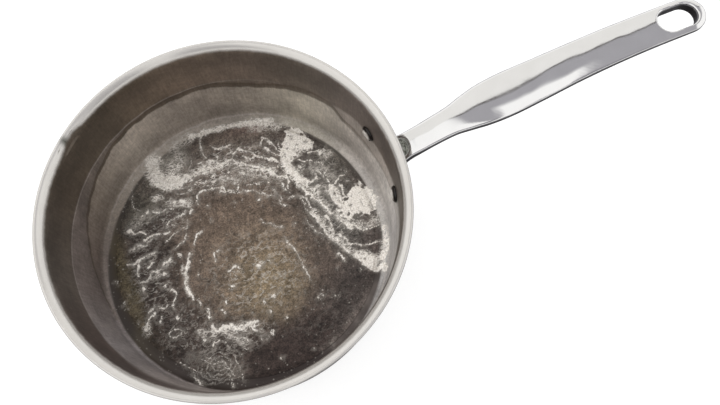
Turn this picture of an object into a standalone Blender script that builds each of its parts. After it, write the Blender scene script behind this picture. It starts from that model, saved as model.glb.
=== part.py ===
# Burnt stainless saucepan: drawn pan body, cast handle on two rivets, burnt crust on the floor.
# Metres, +Z up. The origin is the centre of the underside and the handle points along +X.
import math

import bmesh
import bpy
from mathutils import Matrix, Vector, noise

# Pan body, one drawn sheet with a thicker base
RIM_RADIUS = 0.100            # outer edge of the pouring lip
INSIDE_DEPTH = 0.077          # top of the lip down to the inside floor
WALL_THICKNESS = 0.0025
BASE_THICKNESS = 0.003
CORNER_RADIUS = 0.0065        # inside, between floor and wall
WALL_TAPER = 0.0035           # how far the wall draws in from the lip down to the corner
LIP_BEND_RADIUS = 0.008       # inside face of the flared lip
LIP_BEND_ANGLE = math.radians(60)
NICK_ANGLE = math.radians(135)      # small nick pressed into the inner side of the lip
NICK_DEPTH = 0.0011
NICK_LENGTH = 0.007
BODY_SEGMENTS = 72

# Handle, one casting: flange, neck, grip and hanging loop
GRIP_HALF_WIDTH = 0.0126
NECK_HALF_WIDTH = 0.0076
LOOP_HALF_WIDTH = 0.0103
GRIP_CROWN = 0.0025           # rise of the domed top over its two edges
GRIP_DEPTH = 0.0075           # belly below the edges
HANDLE_REACH = 0.2778         # pan axis to the tip of the loop
HANDLE_RISE = 0.021           # loop above the top of the lip
NECK_DROP = 0.013             # neck edge below the top of the lip, beside the wall
NECK_STANDOFF = 0.004         # where the neck's free length starts, past the lip
ROOT_DROP = 0.004             # the neck's edges sink this far more inside the flange
ROOT_SPREAD = 0.0014          # and spread this far on each side
HOLE_LENGTH = 0.0225
HOLE_WIDTH = 0.0135
LOOP_TIP_WALL = 0.0048        # metal between the hole and the tip
HOLE_EDGE_ROUND = 0.0012
HOLE_EDGE_HEIGHT = 0.0022     # how deep the rounding at either mouth reaches
SCOOP_LENGTH = 0.0055         # pocket cast into the neck's root
SCOOP_HALF_WIDTH = 0.0060
SCOOP_DEPTH = 0.0065
SCOOP_CLEARANCE = 0.001       # scoop's centre past the lip
FLANGE_THICKNESS = 0.0035
FLANGE_HALF_WIDTH = 0.029     # measured along the wall
FLANGE_HEIGHT = 0.024
FLANGE_CORNER = 0.009
FLANGE_CHAMFER = 0.0009

# Rivets
RIVET_SPACING = 0.042         # centre to centre, along the wall
RIVET_DROP = 0.026            # below the top of the lip
RIVET_HEAD_RADIUS = 0.005
RIVET_HEAD_HEIGHT = 0.0024
RIVET_SHANK_RADIUS = 0.0025

# Burnt crust: a film over the floor, with scale piled up along its veins
CRUST_MARGIN = 0.0016         # bare floor between the crust and the corner's foot
CRUST_FILM = 0.0005
VEIN_RELIEF = 0.001           # metres of scale for each unit of height in the list below
VEIN_SPREAD = 1.25            # feathered edge, as a share of a vein's half width
CRUST_CELLS = 38
GRAIN_HEIGHT = 0.00012
GRAIN_SIZE = 0.006

GAP = 0.0003                  # between pieces that touch

# Heights and radii that follow
RIM_HEIGHT = BASE_THICKNESS + INSIDE_DEPTH
LIP_CENTRELINE = LIP_BEND_RADIUS - WALL_THICKNESS / 2
LIP_REACH = LIP_BEND_RADIUS - LIP_CENTRELINE * math.cos(LIP_BEND_ANGLE) + WALL_THICKNESS / 2
LIP_START = RIM_HEIGHT - LIP_CENTRELINE * math.sin(LIP_BEND_ANGLE) - WALL_THICKNESS / 2
WALL_INNER_RADIUS = RIM_RADIUS - LIP_REACH                              # where the lip starts
FLOOR_RADIUS = WALL_INNER_RADIUS - WALL_TAPER - CORNER_RADIUS           # where the flat floor ends
BEND_ACROSS = LIP_BEND_RADIUS + WALL_TAPER + CORNER_RADIUS              # corner's centre to the lip's
BEND_UP = LIP_START - BASE_THICKNESS - CORNER_RADIUS
WALL_LEAN = (math.acos((LIP_BEND_RADIUS + CORNER_RADIUS) / math.hypot(BEND_ACROSS, BEND_UP))
             - math.atan2(BEND_UP, BEND_ACROSS))                        # from upright, opening upwards
RIVET_HEIGHT = RIM_HEIGHT - RIVET_DROP
WALL_AT_RIVETS = (FLOOR_RADIUS + CORNER_RADIUS / math.cos(WALL_LEAN)
                  + (RIVET_HEIGHT - BASE_THICKNESS - CORNER_RADIUS) * math.tan(WALL_LEAN))
FLANGE_INNER_RADIUS = WALL_AT_RIVETS + WALL_THICKNESS + GAP             # at the rivets' height
FLANGE_OUTER_RADIUS = FLANGE_INNER_RADIUS + FLANGE_THICKNESS
RIVET_AZIMUTH = RIVET_SPACING / 2 / FLANGE_INNER_RADIUS
LOOP_CENTRE = HANDLE_REACH - LOOP_HALF_WIDTH
HOLE_CENTRE = HANDLE_REACH - LOOP_TIP_WALL - HOLE_LENGTH / 2
NECK_START = RIM_RADIUS + NECK_STANDOFF
CRUST_RADIUS = FLOOR_RADIUS - CRUST_MARGIN

# The scale's main veins, drawn on a floor of this radius in millimetres: half width, height, points
VEIN_FLOOR_RADIUS = 82.5
SCALE_VEINS = [
    (5.5, 1.5, [(53, 66), (58, 60), (56, 52), (47, 49), (43, 43)]),
    (4.0, 1.5, [(43, 43), (41, 38), (43, 30), (47, 22), (51, 12), (56, 3), (62, -8), (72, -17), (84, -19)]),
    (3.2, 1.1, [(44, -4), (50, -16), (58, -28), (64, -38), (71, -46), (78, -40), (83, -27)]),
    (5.0, 1.3, [(64, -30), (70, -42)]),
    (9.5, 1.6, [(76, 6), (76, -3)]),
    (4.5, 1.2, [(65, 14), (64, 4), (68, -5)]),
    (5.5, 1.5, [(-38, 72), (-40, 64), (-36, 58), (-28, 54), (-19, 53)]),
    (2.6, 0.9, [(-20, 82), (0, 82), (18, 80), (32, 75), (43, 69)]),
    (2.4, 0.8, [(-40, 50), (-22, 50), (-8, 48), (4, 56), (16, 62), (24, 56), (30, 50)]),
    (2.4, 0.8, [(-56, 44), (-46, 40), (-34, 43), (-20, 42), (-8, 43), (8, 46), (22, 44), (36, 36), (37, 27)]),
    (2.2, 0.8, [(-72, 14), (-56, 16), (-66, 33), (-52, 26), (-40, 26)]),
    (2.2, 0.8, [(-70, -3), (-62, 2), (-48, 9)]),
    (2.6, 1.0, [(-29, 16), (-38, 3), (-42, -8), (-43, -19), (-39, -26), (-36, -36)]),
    (3.0, 1.2, [(-37, -42), (-26, -46), (-16, -50), (-11, -55)]),
    (3.0, 0.9, [(-28, -50), (-22, -57), (-17, -60)]),
    (8.0, 0.9, [(-50, -56), (-40, -64), (-32, -72)]),
    (2.2, 0.8, [(-58, -10), (-53, -14), (-56, -22)]),
]


def clear_scene():
    for obj in list(bpy.data.objects):
        bpy.data.objects.remove(obj, do_unlink=True)


def make_material(name, colour, metallic, roughness):
    material = bpy.data.materials.new(name)
    material.use_nodes = True
    shader = material.node_tree.nodes["Principled BSDF"]
    shader.inputs["Base Color"].default_value = (*colour, 1.0)
    shader.inputs["Metallic"].default_value = metallic
    shader.inputs["Roughness"].default_value = roughness
    return material


def make_object(name, bm, material):
    bm.normal_update()
    bmesh.ops.recalc_face_normals(bm, faces=bm.faces)
    if bm.calc_volume(signed=True) < 0:
        bmesh.ops.reverse_faces(bm, faces=bm.faces)
    mesh = bpy.data.meshes.new(name)
    bm.to_mesh(mesh)
    bm.free()
    mesh.materials.append(material)
    mesh.shade_smooth()
    mesh.set_sharp_from_angle(angle=math.radians(35))
    obj = bpy.data.objects.new(name, mesh)
    bpy.context.collection.objects.link(obj)
    return obj


def make_cutter(name, bm, material):
    cutter = make_object(name, bm, material)
    cutter.hide_render = True
    cutter.display_type = "WIRE"
    return cutter


def add_boolean(obj, other, operation):
    modifier = obj.modifiers.new(f"{operation.lower()} {other.name}", "BOOLEAN")
    modifier.operation = operation
    modifier.object = other
    modifier.solver = "EXACT"


def arc(centre, radius_x, radius_z, start, end, steps):
    """Points of an elliptic arc in the profile plane, both ends included."""
    points = []
    for i in range(steps + 1):
        angle = start + (end - start) * i / steps
        points.append((centre[0] + radius_x * math.cos(angle), centre[1] + radius_z * math.sin(angle)))
    return points


def turn_profile(profile, segments):
    """Spin (radius, height) points once round Z; ends on the axis close there."""
    bm = bmesh.new()
    verts = [bm.verts.new((radius, 0.0, height)) for radius, height in profile]
    edges = [bm.edges.new(pair) for pair in zip(verts, verts[1:])]
    bmesh.ops.spin(bm, geom=verts + edges, cent=(0, 0, 0), axis=(0, 0, 1),
                   angle=math.tau, steps=segments, use_merge=True)
    bmesh.ops.remove_doubles(bm, verts=bm.verts, dist=1e-6)
    return bm


def loft(rings):
    """Skin equal closed rings of points and close both ends."""
    bm = bmesh.new()
    loops = [[bm.verts.new(point) for point in ring] for ring in rings]
    count = len(loops[0])
    for first, second in zip(loops, loops[1:]):
        for i in range(count):
            j = (i + 1) % count
            bm.faces.new((first[i], first[j], second[j], second[i]))
    bm.faces.new(list(reversed(loops[0])))
    bm.faces.new(loops[-1])
    return bm


def smooth_value(stations, column, x):
    """Cubic through the stations' values in one column, flat past either end."""
    if x <= stations[0][0]:
        return stations[0][column]
    if x >= stations[-1][0]:
        return stations[-1][column]
    k = next(i for i in range(len(stations) - 1) if x <= stations[i + 1][0])

    def slope(i):
        low, high = max(i - 1, 0), min(i + 1, len(stations) - 1)
        return (stations[high][column] - stations[low][column]) / (stations[high][0] - stations[low][0])

    span = stations[k + 1][0] - stations[k][0]
    t = (x - stations[k][0]) / span
    a, b = stations[k][column], stations[k + 1][column]
    bend_a, bend_b = slope(k) * span, slope(k + 1) * span
    return (a * (1 + 2 * t) * (1 - t) ** 2 + bend_a * t * (1 - t) ** 2
            + b * t * t * (3 - 2 * t) + bend_b * t * t * (t - 1))


def body_profile():
    """Section of the drawn pan from the axis out along the inside and back underneath."""
    floor = BASE_THICKNESS
    corner = (FLOOR_RADIUS, floor + CORNER_RADIUS)
    bend = (WALL_INNER_RADIUS + LIP_BEND_RADIUS, LIP_START)
    outer_bend = LIP_BEND_RADIUS - WALL_THICKNESS
    turned = math.pi - LIP_BEND_ANGLE
    edge = (bend[0] + LIP_CENTRELINE * math.cos(turned), bend[1] + LIP_CENTRELINE * math.sin(turned))
    edge_round = WALL_THICKNESS / 2
    points = [(0.0, floor)]
    points += arc(corner, CORNER_RADIUS, CORNER_RADIUS, -math.pi / 2, -WALL_LEAN, 6)
    points += arc(bend, LIP_BEND_RADIUS, LIP_BEND_RADIUS, math.pi - WALL_LEAN, turned, 5)
    points += arc(edge, edge_round, edge_round, turned, turned - math.pi, 5)[1:-1]
    points += arc(bend, outer_bend, outer_bend, turned, math.pi - WALL_LEAN, 4)
    points += arc(corner, CORNER_RADIUS + WALL_THICKNESS, corner[1], -WALL_LEAN, -math.pi / 2, 6)
    points.append((0.0, 0.0))
    return points


def rivet_axis(side):
    """Frame on the wall's inner face whose Z runs out of the pan along one rivet."""
    azimuth = side * RIVET_AZIMUTH
    return (Matrix.Rotation(azimuth, 4, "Z") @ Matrix.Translation((WALL_AT_RIVETS, 0, RIVET_HEIGHT))
            @ Matrix.Rotation(math.pi / 2 + WALL_LEAN, 4, "Y"))


def make_rivet_hole(side, material):
    bm = bmesh.new()
    radius = RIVET_SHANK_RADIUS + GAP
    bmesh.ops.create_cone(bm, cap_ends=True, segments=16, radius1=radius, radius2=radius,
                          depth=4 * (WALL_THICKNESS + FLANGE_THICKNESS))
    bm.transform(rivet_axis(side) @ Matrix.Translation((0, 0, WALL_THICKNESS)))
    return make_cutter("rivet_hole_left" if side > 0 else "rivet_hole_right", bm, material)


def make_body(material, rivet_holes):
    bm = turn_profile(body_profile(), BODY_SEGMENTS)
    nick = Vector((math.cos(NICK_ANGLE), math.sin(NICK_ANGLE), 0))
    for vert in bm.verts:
        radius = vert.co.xy.length
        inside = WALL_INNER_RADIUS - GAP < radius < RIM_RADIUS - WALL_THICKNESS
        if inside and LIP_START < vert.co.z < RIM_HEIGHT - WALL_THICKNESS / 2:
            along = (vert.co.xy - nick.xy * radius).length / NICK_LENGTH
            vert.co += nick * NICK_DEPTH * math.exp(-along * along)
    body = make_object("pan_body", bm, material)
    for hole in rivet_holes:
        add_boolean(body, hole, "DIFFERENCE")
    return body


def handle_stations():
    """x, height of the two edges, half width, crown, belly depth, from the flange to the loop."""
    root_z = RIM_HEIGHT - NECK_DROP
    loop_z = RIM_HEIGHT + HANDLE_RISE
    rise = loop_z - root_z
    reach = LOOP_CENTRE - NECK_START
    neck, grip, loop = NECK_HALF_WIDTH, GRIP_HALF_WIDTH, LOOP_HALF_WIDTH
    crown, depth = GRIP_CROWN, GRIP_DEPTH
    # share of the reach, share of the rise, half width, crown, depth
    shares = [
        (0.00, 0.00, neck, 0.6 * crown, 1.45 * depth),
        (0.05, 0.09, neck, 0.8 * crown, 1.05 * depth),
        (0.11, 0.22, neck + 0.0003, 0.9 * crown, 0.85 * depth),
        (0.17, 0.34, neck + 0.0009, 0.9 * crown, 0.80 * depth),
        (0.22, 0.43, 0.48 * neck + 0.52 * grip, 0.9 * crown, 0.85 * depth),
        (0.28, 0.51, grip - 0.0007, crown, 0.95 * depth),
        (0.36, 0.59, grip, crown, depth),
        (0.47, 0.70, grip - 0.0006, crown, depth),
        (0.59, 0.83, grip - 0.0014, crown, 0.96 * depth),
        (0.72, 0.93, grip - 0.0019, 0.9 * crown, 0.88 * depth),
        (0.85, 0.98, loop + 0.0001, 0.8 * crown, 0.8 * depth),
        (1.00, 1.00, loop, 0.7 * crown, 0.75 * depth),
    ]
    rows = [(NECK_START + u * reach, root_z + v * rise, w, c, d) for u, v, w, c, d in shares]
    buried = (FLANGE_OUTER_RADIUS - 0.6 * FLANGE_THICKNESS, root_z - ROOT_DROP, neck + ROOT_SPREAD,
              0.2 * crown, 2 * depth)
    return [buried] + rows


def handle_ring(x, edge_z, half_width, crown, depth):
    """Section across the handle: a low dome above its edges and a fuller belly below."""
    points = []
    steps = 20
    for i in range(steps):
        angle = math.tau * i / steps
        across, up = math.cos(angle), math.sin(angle)
        power = 0.9 if up > 0 else 0.62
        height = crown if up > 0 else depth
        y = half_width * math.copysign(abs(across) ** power, across)
        z = edge_z + height * math.copysign(abs(up) ** power, up)
        points.append((x, y, z))
    return points


def make_flange():
    """Plate that follows the wall, with rounded ends and chamfered outer edges."""
    centre_z = RIVET_HEIGHT
    columns = 16
    rings = []
    for i in range(columns + 1):
        along = -math.cos(math.pi * i / columns) * FLANGE_HALF_WIDTH
        past = max(abs(along) - (FLANGE_HALF_WIDTH - FLANGE_CORNER), 0)
        corner_drop = FLANGE_CORNER - math.sqrt(max(FLANGE_CORNER ** 2 - past ** 2, 0))
        half = FLANGE_HEIGHT / 2 - corner_drop
        azimuth = along / FLANGE_INNER_RADIUS
        inner, outer, cut = FLANGE_INNER_RADIUS, FLANGE_OUTER_RADIUS, FLANGE_CHAMFER
        lean = math.tan(WALL_LEAN)
        section = [(inner, -half), (inner, half), (outer - cut, half), (outer, half - cut),
                   (outer, cut - half), (outer - cut, -half)]
        section = [(r + z * lean, z) for r, z in section]
        rings.append([(r * math.cos(azimuth), r * math.sin(azimuth), centre_z + z) for r, z in section])
    return loft(rings)


def make_hanging_hole():
    """Long round-ended cutter, wider at both mouths so the hole's edges come out rounded."""
    mouth_z = RIM_HEIGHT + HANDLE_RISE
    top = mouth_z + GRIP_CROWN
    bottom = mouth_z - GRIP_DEPTH
    flare, deep = HOLE_EDGE_ROUND, HOLE_EDGE_HEIGHT
    levels = [(bottom - 3 * deep, 2.5 * flare), (bottom + 0.4 * deep, flare), (bottom + deep, 0.0),
              (top - deep, 0.0), (top - 0.4 * deep, 0.55 * flare), (top + 3 * deep, 2.5 * flare)]
    straight = (HOLE_LENGTH - HOLE_WIDTH) / 2
    rings = []
    for z, grow in levels:
        radius = HOLE_WIDTH / 2 + grow
        ring = arc((straight, 0), radius, radius, -math.pi / 2, math.pi / 2, 9)
        ring += arc((-straight, 0), radius, radius, math.pi / 2, 1.5 * math.pi, 9)
        rings.append([(HOLE_CENTRE + x, y, z) for x, y in ring])
    return loft(rings)


def make_handle(material, rivet_holes):
    stations = handle_stations()
    spacing = 0.006
    start, end = stations[0][0], LOOP_CENTRE
    count = round((end - start) / spacing)
    rings = []
    for i in range(count + 1):
        x = start + (end - start) * i / count
        rings.append(handle_ring(x, *[smooth_value(stations, column, x) for column in range(1, 5)]))
    x, edge_z, half_width, crown, depth = stations[-1]
    for degrees in (15, 30, 45, 58, 70, 80, 87):
        angle = math.radians(degrees)
        shrink = math.cos(angle) ** 0.45
        rings.append(handle_ring(x + LOOP_HALF_WIDTH * math.sin(angle), edge_z,
                                 half_width * math.cos(angle), crown * shrink, depth * shrink))
    handle = make_object("handle", loft(rings), material)

    flange = make_cutter("flange_plate", make_flange(), material)
    add_boolean(handle, flange, "UNION")
    scoop = bmesh.new()
    bmesh.ops.create_uvsphere(scoop, u_segments=16, v_segments=10, radius=1.0)
    scoop_centre = (RIM_RADIUS + SCOOP_CLEARANCE, 0, RIM_HEIGHT - NECK_DROP + GRIP_CROWN)
    scoop.transform(Matrix.Translation(scoop_centre)
                    @ Matrix.Diagonal((SCOOP_LENGTH, SCOOP_HALF_WIDTH, SCOOP_DEPTH, 1)))
    add_boolean(handle, make_cutter("root_scoop", scoop, material), "DIFFERENCE")
    add_boolean(handle, make_cutter("hanging_hole", make_hanging_hole(), material), "DIFFERENCE")
    for hole in rivet_holes:
        add_boolean(handle, hole, "DIFFERENCE")
    return handle


def make_rivet(side, material):
    """Turned along the rivet's own axis: domed head inside, shank, flatter head on the flange."""
    chord = WALL_AT_RIVETS * math.cos(math.pi / BODY_SEGMENTS)
    inner_seat = math.sqrt(chord ** 2 - RIVET_HEAD_RADIUS ** 2) - GAP - WALL_AT_RIVETS
    outer_seat = FLANGE_OUTER_RADIUS + GAP - WALL_AT_RIVETS
    head, height = RIVET_HEAD_RADIUS, RIVET_HEAD_HEIGHT
    profile = arc((0, inner_seat), head, height, -math.pi / 2, 0, 5)
    profile += [(RIVET_SHANK_RADIUS, inner_seat), (RIVET_SHANK_RADIUS, outer_seat)]
    profile += arc((0, outer_seat), head, height, 0, math.pi / 2, 5)
    profile[0] = (0.0, profile[0][1])
    profile[-1] = (0.0, profile[-1][1])
    bm = turn_profile(profile, 18)
    bm.transform(rivet_axis(side))
    return make_object("rivet_left" if side > 0 else "rivet_right", bm, material)


def distance_to_line(point, line):
    """Distance in millimetres from a point to a chain of straight stretches."""
    best = math.inf
    for start, end in zip(line, line[1:]):
        a, b = Vector(start), Vector(end)
        share = max(0.0, min(1.0, (point - a).dot(b - a) / (b - a).length_squared))
        best = min(best, (point - a.lerp(b, share)).length)
    return best


def crust_thickness(x, y):
    """Film, plus scale heaped along the veins, plus a fine seeded grain."""
    point = Vector((x, y)) * VEIN_FLOOR_RADIUS / CRUST_RADIUS
    pile = 0.0
    for half_width, height, line in SCALE_VEINS:
        share = distance_to_line(point, line) / (half_width * VEIN_SPREAD)
        if share < 1:
            pile = max(pile, height * VEIN_RELIEF * (1 - share * share) ** 1.5)
    grain = noise.noise(Vector((x / GRAIN_SIZE, y / GRAIN_SIZE, 4.0))) * GRAIN_HEIGHT
    return CRUST_FILM + pile + grain


def make_crust(material):
    """A square grid squeezed into a disc, lifted by the crust's thickness and closed underneath."""
    bottom = BASE_THICKNESS + GAP
    bm = bmesh.new()
    bmesh.ops.create_grid(bm, x_segments=CRUST_CELLS, y_segments=CRUST_CELLS, size=1.0)
    for vert in bm.verts:
        u, v = vert.co.x, vert.co.y
        x = CRUST_RADIUS * u * math.sqrt(1 - v * v / 2)
        y = CRUST_RADIUS * v * math.sqrt(1 - u * u / 2)
        vert.co = (x, y, bottom + crust_thickness(x, y))
    edges = [edge for edge in bm.edges if edge.is_boundary]
    skirt = bmesh.ops.extrude_edge_only(bm, edges=edges)["geom"]
    for vert in (item for item in skirt if isinstance(item, bmesh.types.BMVert)):
        vert.co.z = bottom
    low_edges = [item for item in skirt if isinstance(item, bmesh.types.BMEdge) and item.is_boundary]
    bmesh.ops.contextual_create(bm, geom=low_edges)
    return make_object("burnt_crust", bm, material)


def main():
    clear_scene()
    steel = make_material("stained stainless steel", (0.30, 0.27, 0.24), 0.9, 0.38)
    polished = make_material("polished stainless steel", (0.62, 0.61, 0.61), 1.0, 0.16)
    rivet_steel = make_material("darkened rivet steel", (0.12, 0.11, 0.10), 1.0, 0.25)
    crust = make_material("burnt crust", (0.13, 0.10, 0.07), 0.0, 0.85)
    rivet_holes = [make_rivet_hole(side, steel) for side in (1, -1)]
    make_body(steel, rivet_holes)
    make_handle(polished, rivet_holes)
    for side in (1, -1):
        make_rivet(side, rivet_steel)
    make_crust(crust)


main()
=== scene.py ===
# Burnt stainless saucepan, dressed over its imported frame. Metres, +Z up, handle along +X.
import math

import bmesh
import bpy
import numpy as np
from mathutils import Euler, Matrix, Vector, noise


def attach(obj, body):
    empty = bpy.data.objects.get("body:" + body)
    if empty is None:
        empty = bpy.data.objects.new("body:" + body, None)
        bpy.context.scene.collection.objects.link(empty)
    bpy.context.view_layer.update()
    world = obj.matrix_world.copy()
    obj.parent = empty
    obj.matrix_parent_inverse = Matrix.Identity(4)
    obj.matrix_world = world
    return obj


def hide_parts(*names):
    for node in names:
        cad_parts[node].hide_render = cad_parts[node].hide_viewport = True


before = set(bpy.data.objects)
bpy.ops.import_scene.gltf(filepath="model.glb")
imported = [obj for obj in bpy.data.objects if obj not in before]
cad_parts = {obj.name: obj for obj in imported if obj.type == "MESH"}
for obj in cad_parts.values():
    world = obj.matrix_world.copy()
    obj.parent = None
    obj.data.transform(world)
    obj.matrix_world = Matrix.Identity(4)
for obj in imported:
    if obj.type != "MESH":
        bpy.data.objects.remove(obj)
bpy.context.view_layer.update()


# Small helpers for meshes, attributes and nodes

def linear(hexText):
    channels = [int(hexText[i:i + 2], 16) / 255 for i in (1, 3, 5)]
    return [c / 12.92 if c <= 0.04045 else ((c + 0.055) / 1.055) ** 2.4 for c in channels] + [1.0]


def perMetre(millimetres):
    return 1000.0 / millimetres   # texture scale that gives a pattern this size


# Settings that many nodes share
multiply, multiplyAdd = {"operation": "MULTIPLY"}, {"operation": "MULTIPLY_ADD"}
smooth, blend = {"interpolation_type": "SMOOTHSTEP"}, {"data_type": "RGBA"}


def addNode(tree, kind, settings=None, sockets=None):
    node = tree.nodes.new("ShaderNode" + kind)
    for key, value in (settings or {}).items():
        if key == "stops":
            ramp = node.color_ramp
            while len(ramp.elements) < len(value):
                ramp.elements.new(0.5)
            for element, (position, colour) in zip(ramp.elements, value):
                element.position = position
                element.color = colour
        else:
            setattr(node, key, value)
    for key, value in (sockets or {}).items():
        if isinstance(value, bpy.types.NodeSocket):
            tree.links.new(value, node.inputs[key])
        else:
            node.inputs[key].default_value = value
    return node


def startMaterial(name):
    material = bpy.data.materials.new(name)
    material.use_nodes = True
    tree = material.node_tree
    return material, tree, tree.nodes["Principled BSDF"]


def finishPiece(name, bm, material, node, smoothAngle=40):
    bmesh.ops.recalc_face_normals(bm, faces=bm.faces)
    if bm.calc_volume(signed=True) < 0:
        bmesh.ops.reverse_faces(bm, faces=bm.faces)
    mesh = bpy.data.meshes.new(name)
    bm.to_mesh(mesh)
    bm.free()
    return placePiece(name, mesh, material, node, smoothAngle)


def placePiece(name, mesh, material, node, smoothAngle=40):
    mesh.materials.clear()
    mesh.materials.append(material)
    mesh.shade_smooth()
    mesh.set_sharp_from_angle(angle=math.radians(smoothAngle))
    piece = bpy.data.objects.new(name, mesh)
    bpy.context.scene.collection.objects.link(piece)
    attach(piece, "root")
    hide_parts(node)
    triangles = sum(len(polygon.vertices) - 2 for polygon in mesh.polygons)
    print("piece", name, triangles, "triangles")
    return piece


def setNumbers(mesh, name, values):
    layer = mesh.attributes.new(name, "FLOAT", "POINT")
    layer.data.foreach_set("value", np.asarray(values, dtype=np.float32))


def setColours(mesh, name, values):
    layer = mesh.attributes.new(name, "FLOAT_COLOR", "POINT")
    layer.data.foreach_set("color", np.asarray(values, dtype=np.float32).ravel())


def vertexPlaces(mesh):
    places = np.empty(len(mesh.vertices) * 3)
    mesh.vertices.foreach_get("co", places)
    return places.reshape(-1, 3)


def noiseField(x, y, size, seed):
    return np.array([noise.noise(Vector((a / size, b / size, seed))) for a, b in zip(x, y)])


def smoothStep(value, low, high):
    share = np.clip((value - low) / (high - low), 0, 1)
    return share * share * (3 - 2 * share)


# Pan shell: one drawn sheet, floor, corner, wall and flared lip

pan = {
    "rimRadius": 0.09995,
    "insideDepth": 0.077,
    "wall": 0.0025,
    "base": 0.003,
    "cornerRadius": 0.0065,
    "taper": 0.0035,          # the wall draws in this much from the lip to the corner
    "lipBend": 0.008,
    "lipAngle": math.radians(60),
    "nickAngle": math.radians(135),
    "nickDepth": 0.0011,
    "nickLength": 0.007,
    "nickMarkAt": 0.0965,     # radius where the nick's painted dark reflection sits
    "nickMarkSize": 2.2,      # mm
    "segments": 480,
    # rings of vertices over each stretch of the profile
    "floorSteps": 14,
    "closeBand": 0.004,       # closer rings at the floor's edge, over this width
    "closeSteps": 4,
    "wallSteps": 52,
    "bendSteps": 12,
    "outerSteps": 12,
    "roundSteps": 10,
    # the bare lip's and the burnt wall's value of each
    "metallic": (0.6, 0.22),
    "roughness": (0.22, 0.5),
    "brushDepth": (0.02, 0.25),
    "bareSteel": ("#c9c5c0", "#d9d6d1"),
    "nickColour": "#4b4c42",
}
pan["rimHeight"] = pan["base"] + pan["insideDepth"]
pan["lipCentre"] = pan["lipBend"] - pan["wall"] / 2
pan["lipReach"] = pan["lipBend"] - pan["lipCentre"] * math.cos(pan["lipAngle"]) + pan["wall"] / 2
pan["lipStart"] = pan["rimHeight"] - pan["lipCentre"] * math.sin(pan["lipAngle"]) - pan["wall"] / 2
pan["inner"] = pan["rimRadius"] - pan["lipReach"]
pan["floorRadius"] = pan["inner"] - pan["taper"] - pan["cornerRadius"]
acrossBend = pan["lipBend"] + pan["taper"] + pan["cornerRadius"]
upBend = pan["lipStart"] - pan["base"] - pan["cornerRadius"]
pan["lean"] = (math.acos((pan["lipBend"] + pan["cornerRadius"]) / math.hypot(acrossBend, upBend))
               - math.atan2(upBend, acrossBend))


def wallRadius(height):   # inside radius of the leaning wall
    return (pan["floorRadius"] + pan["cornerRadius"] / math.cos(pan["lean"])
            + (height - pan["base"] - pan["cornerRadius"]) * math.tan(pan["lean"]))
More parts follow.
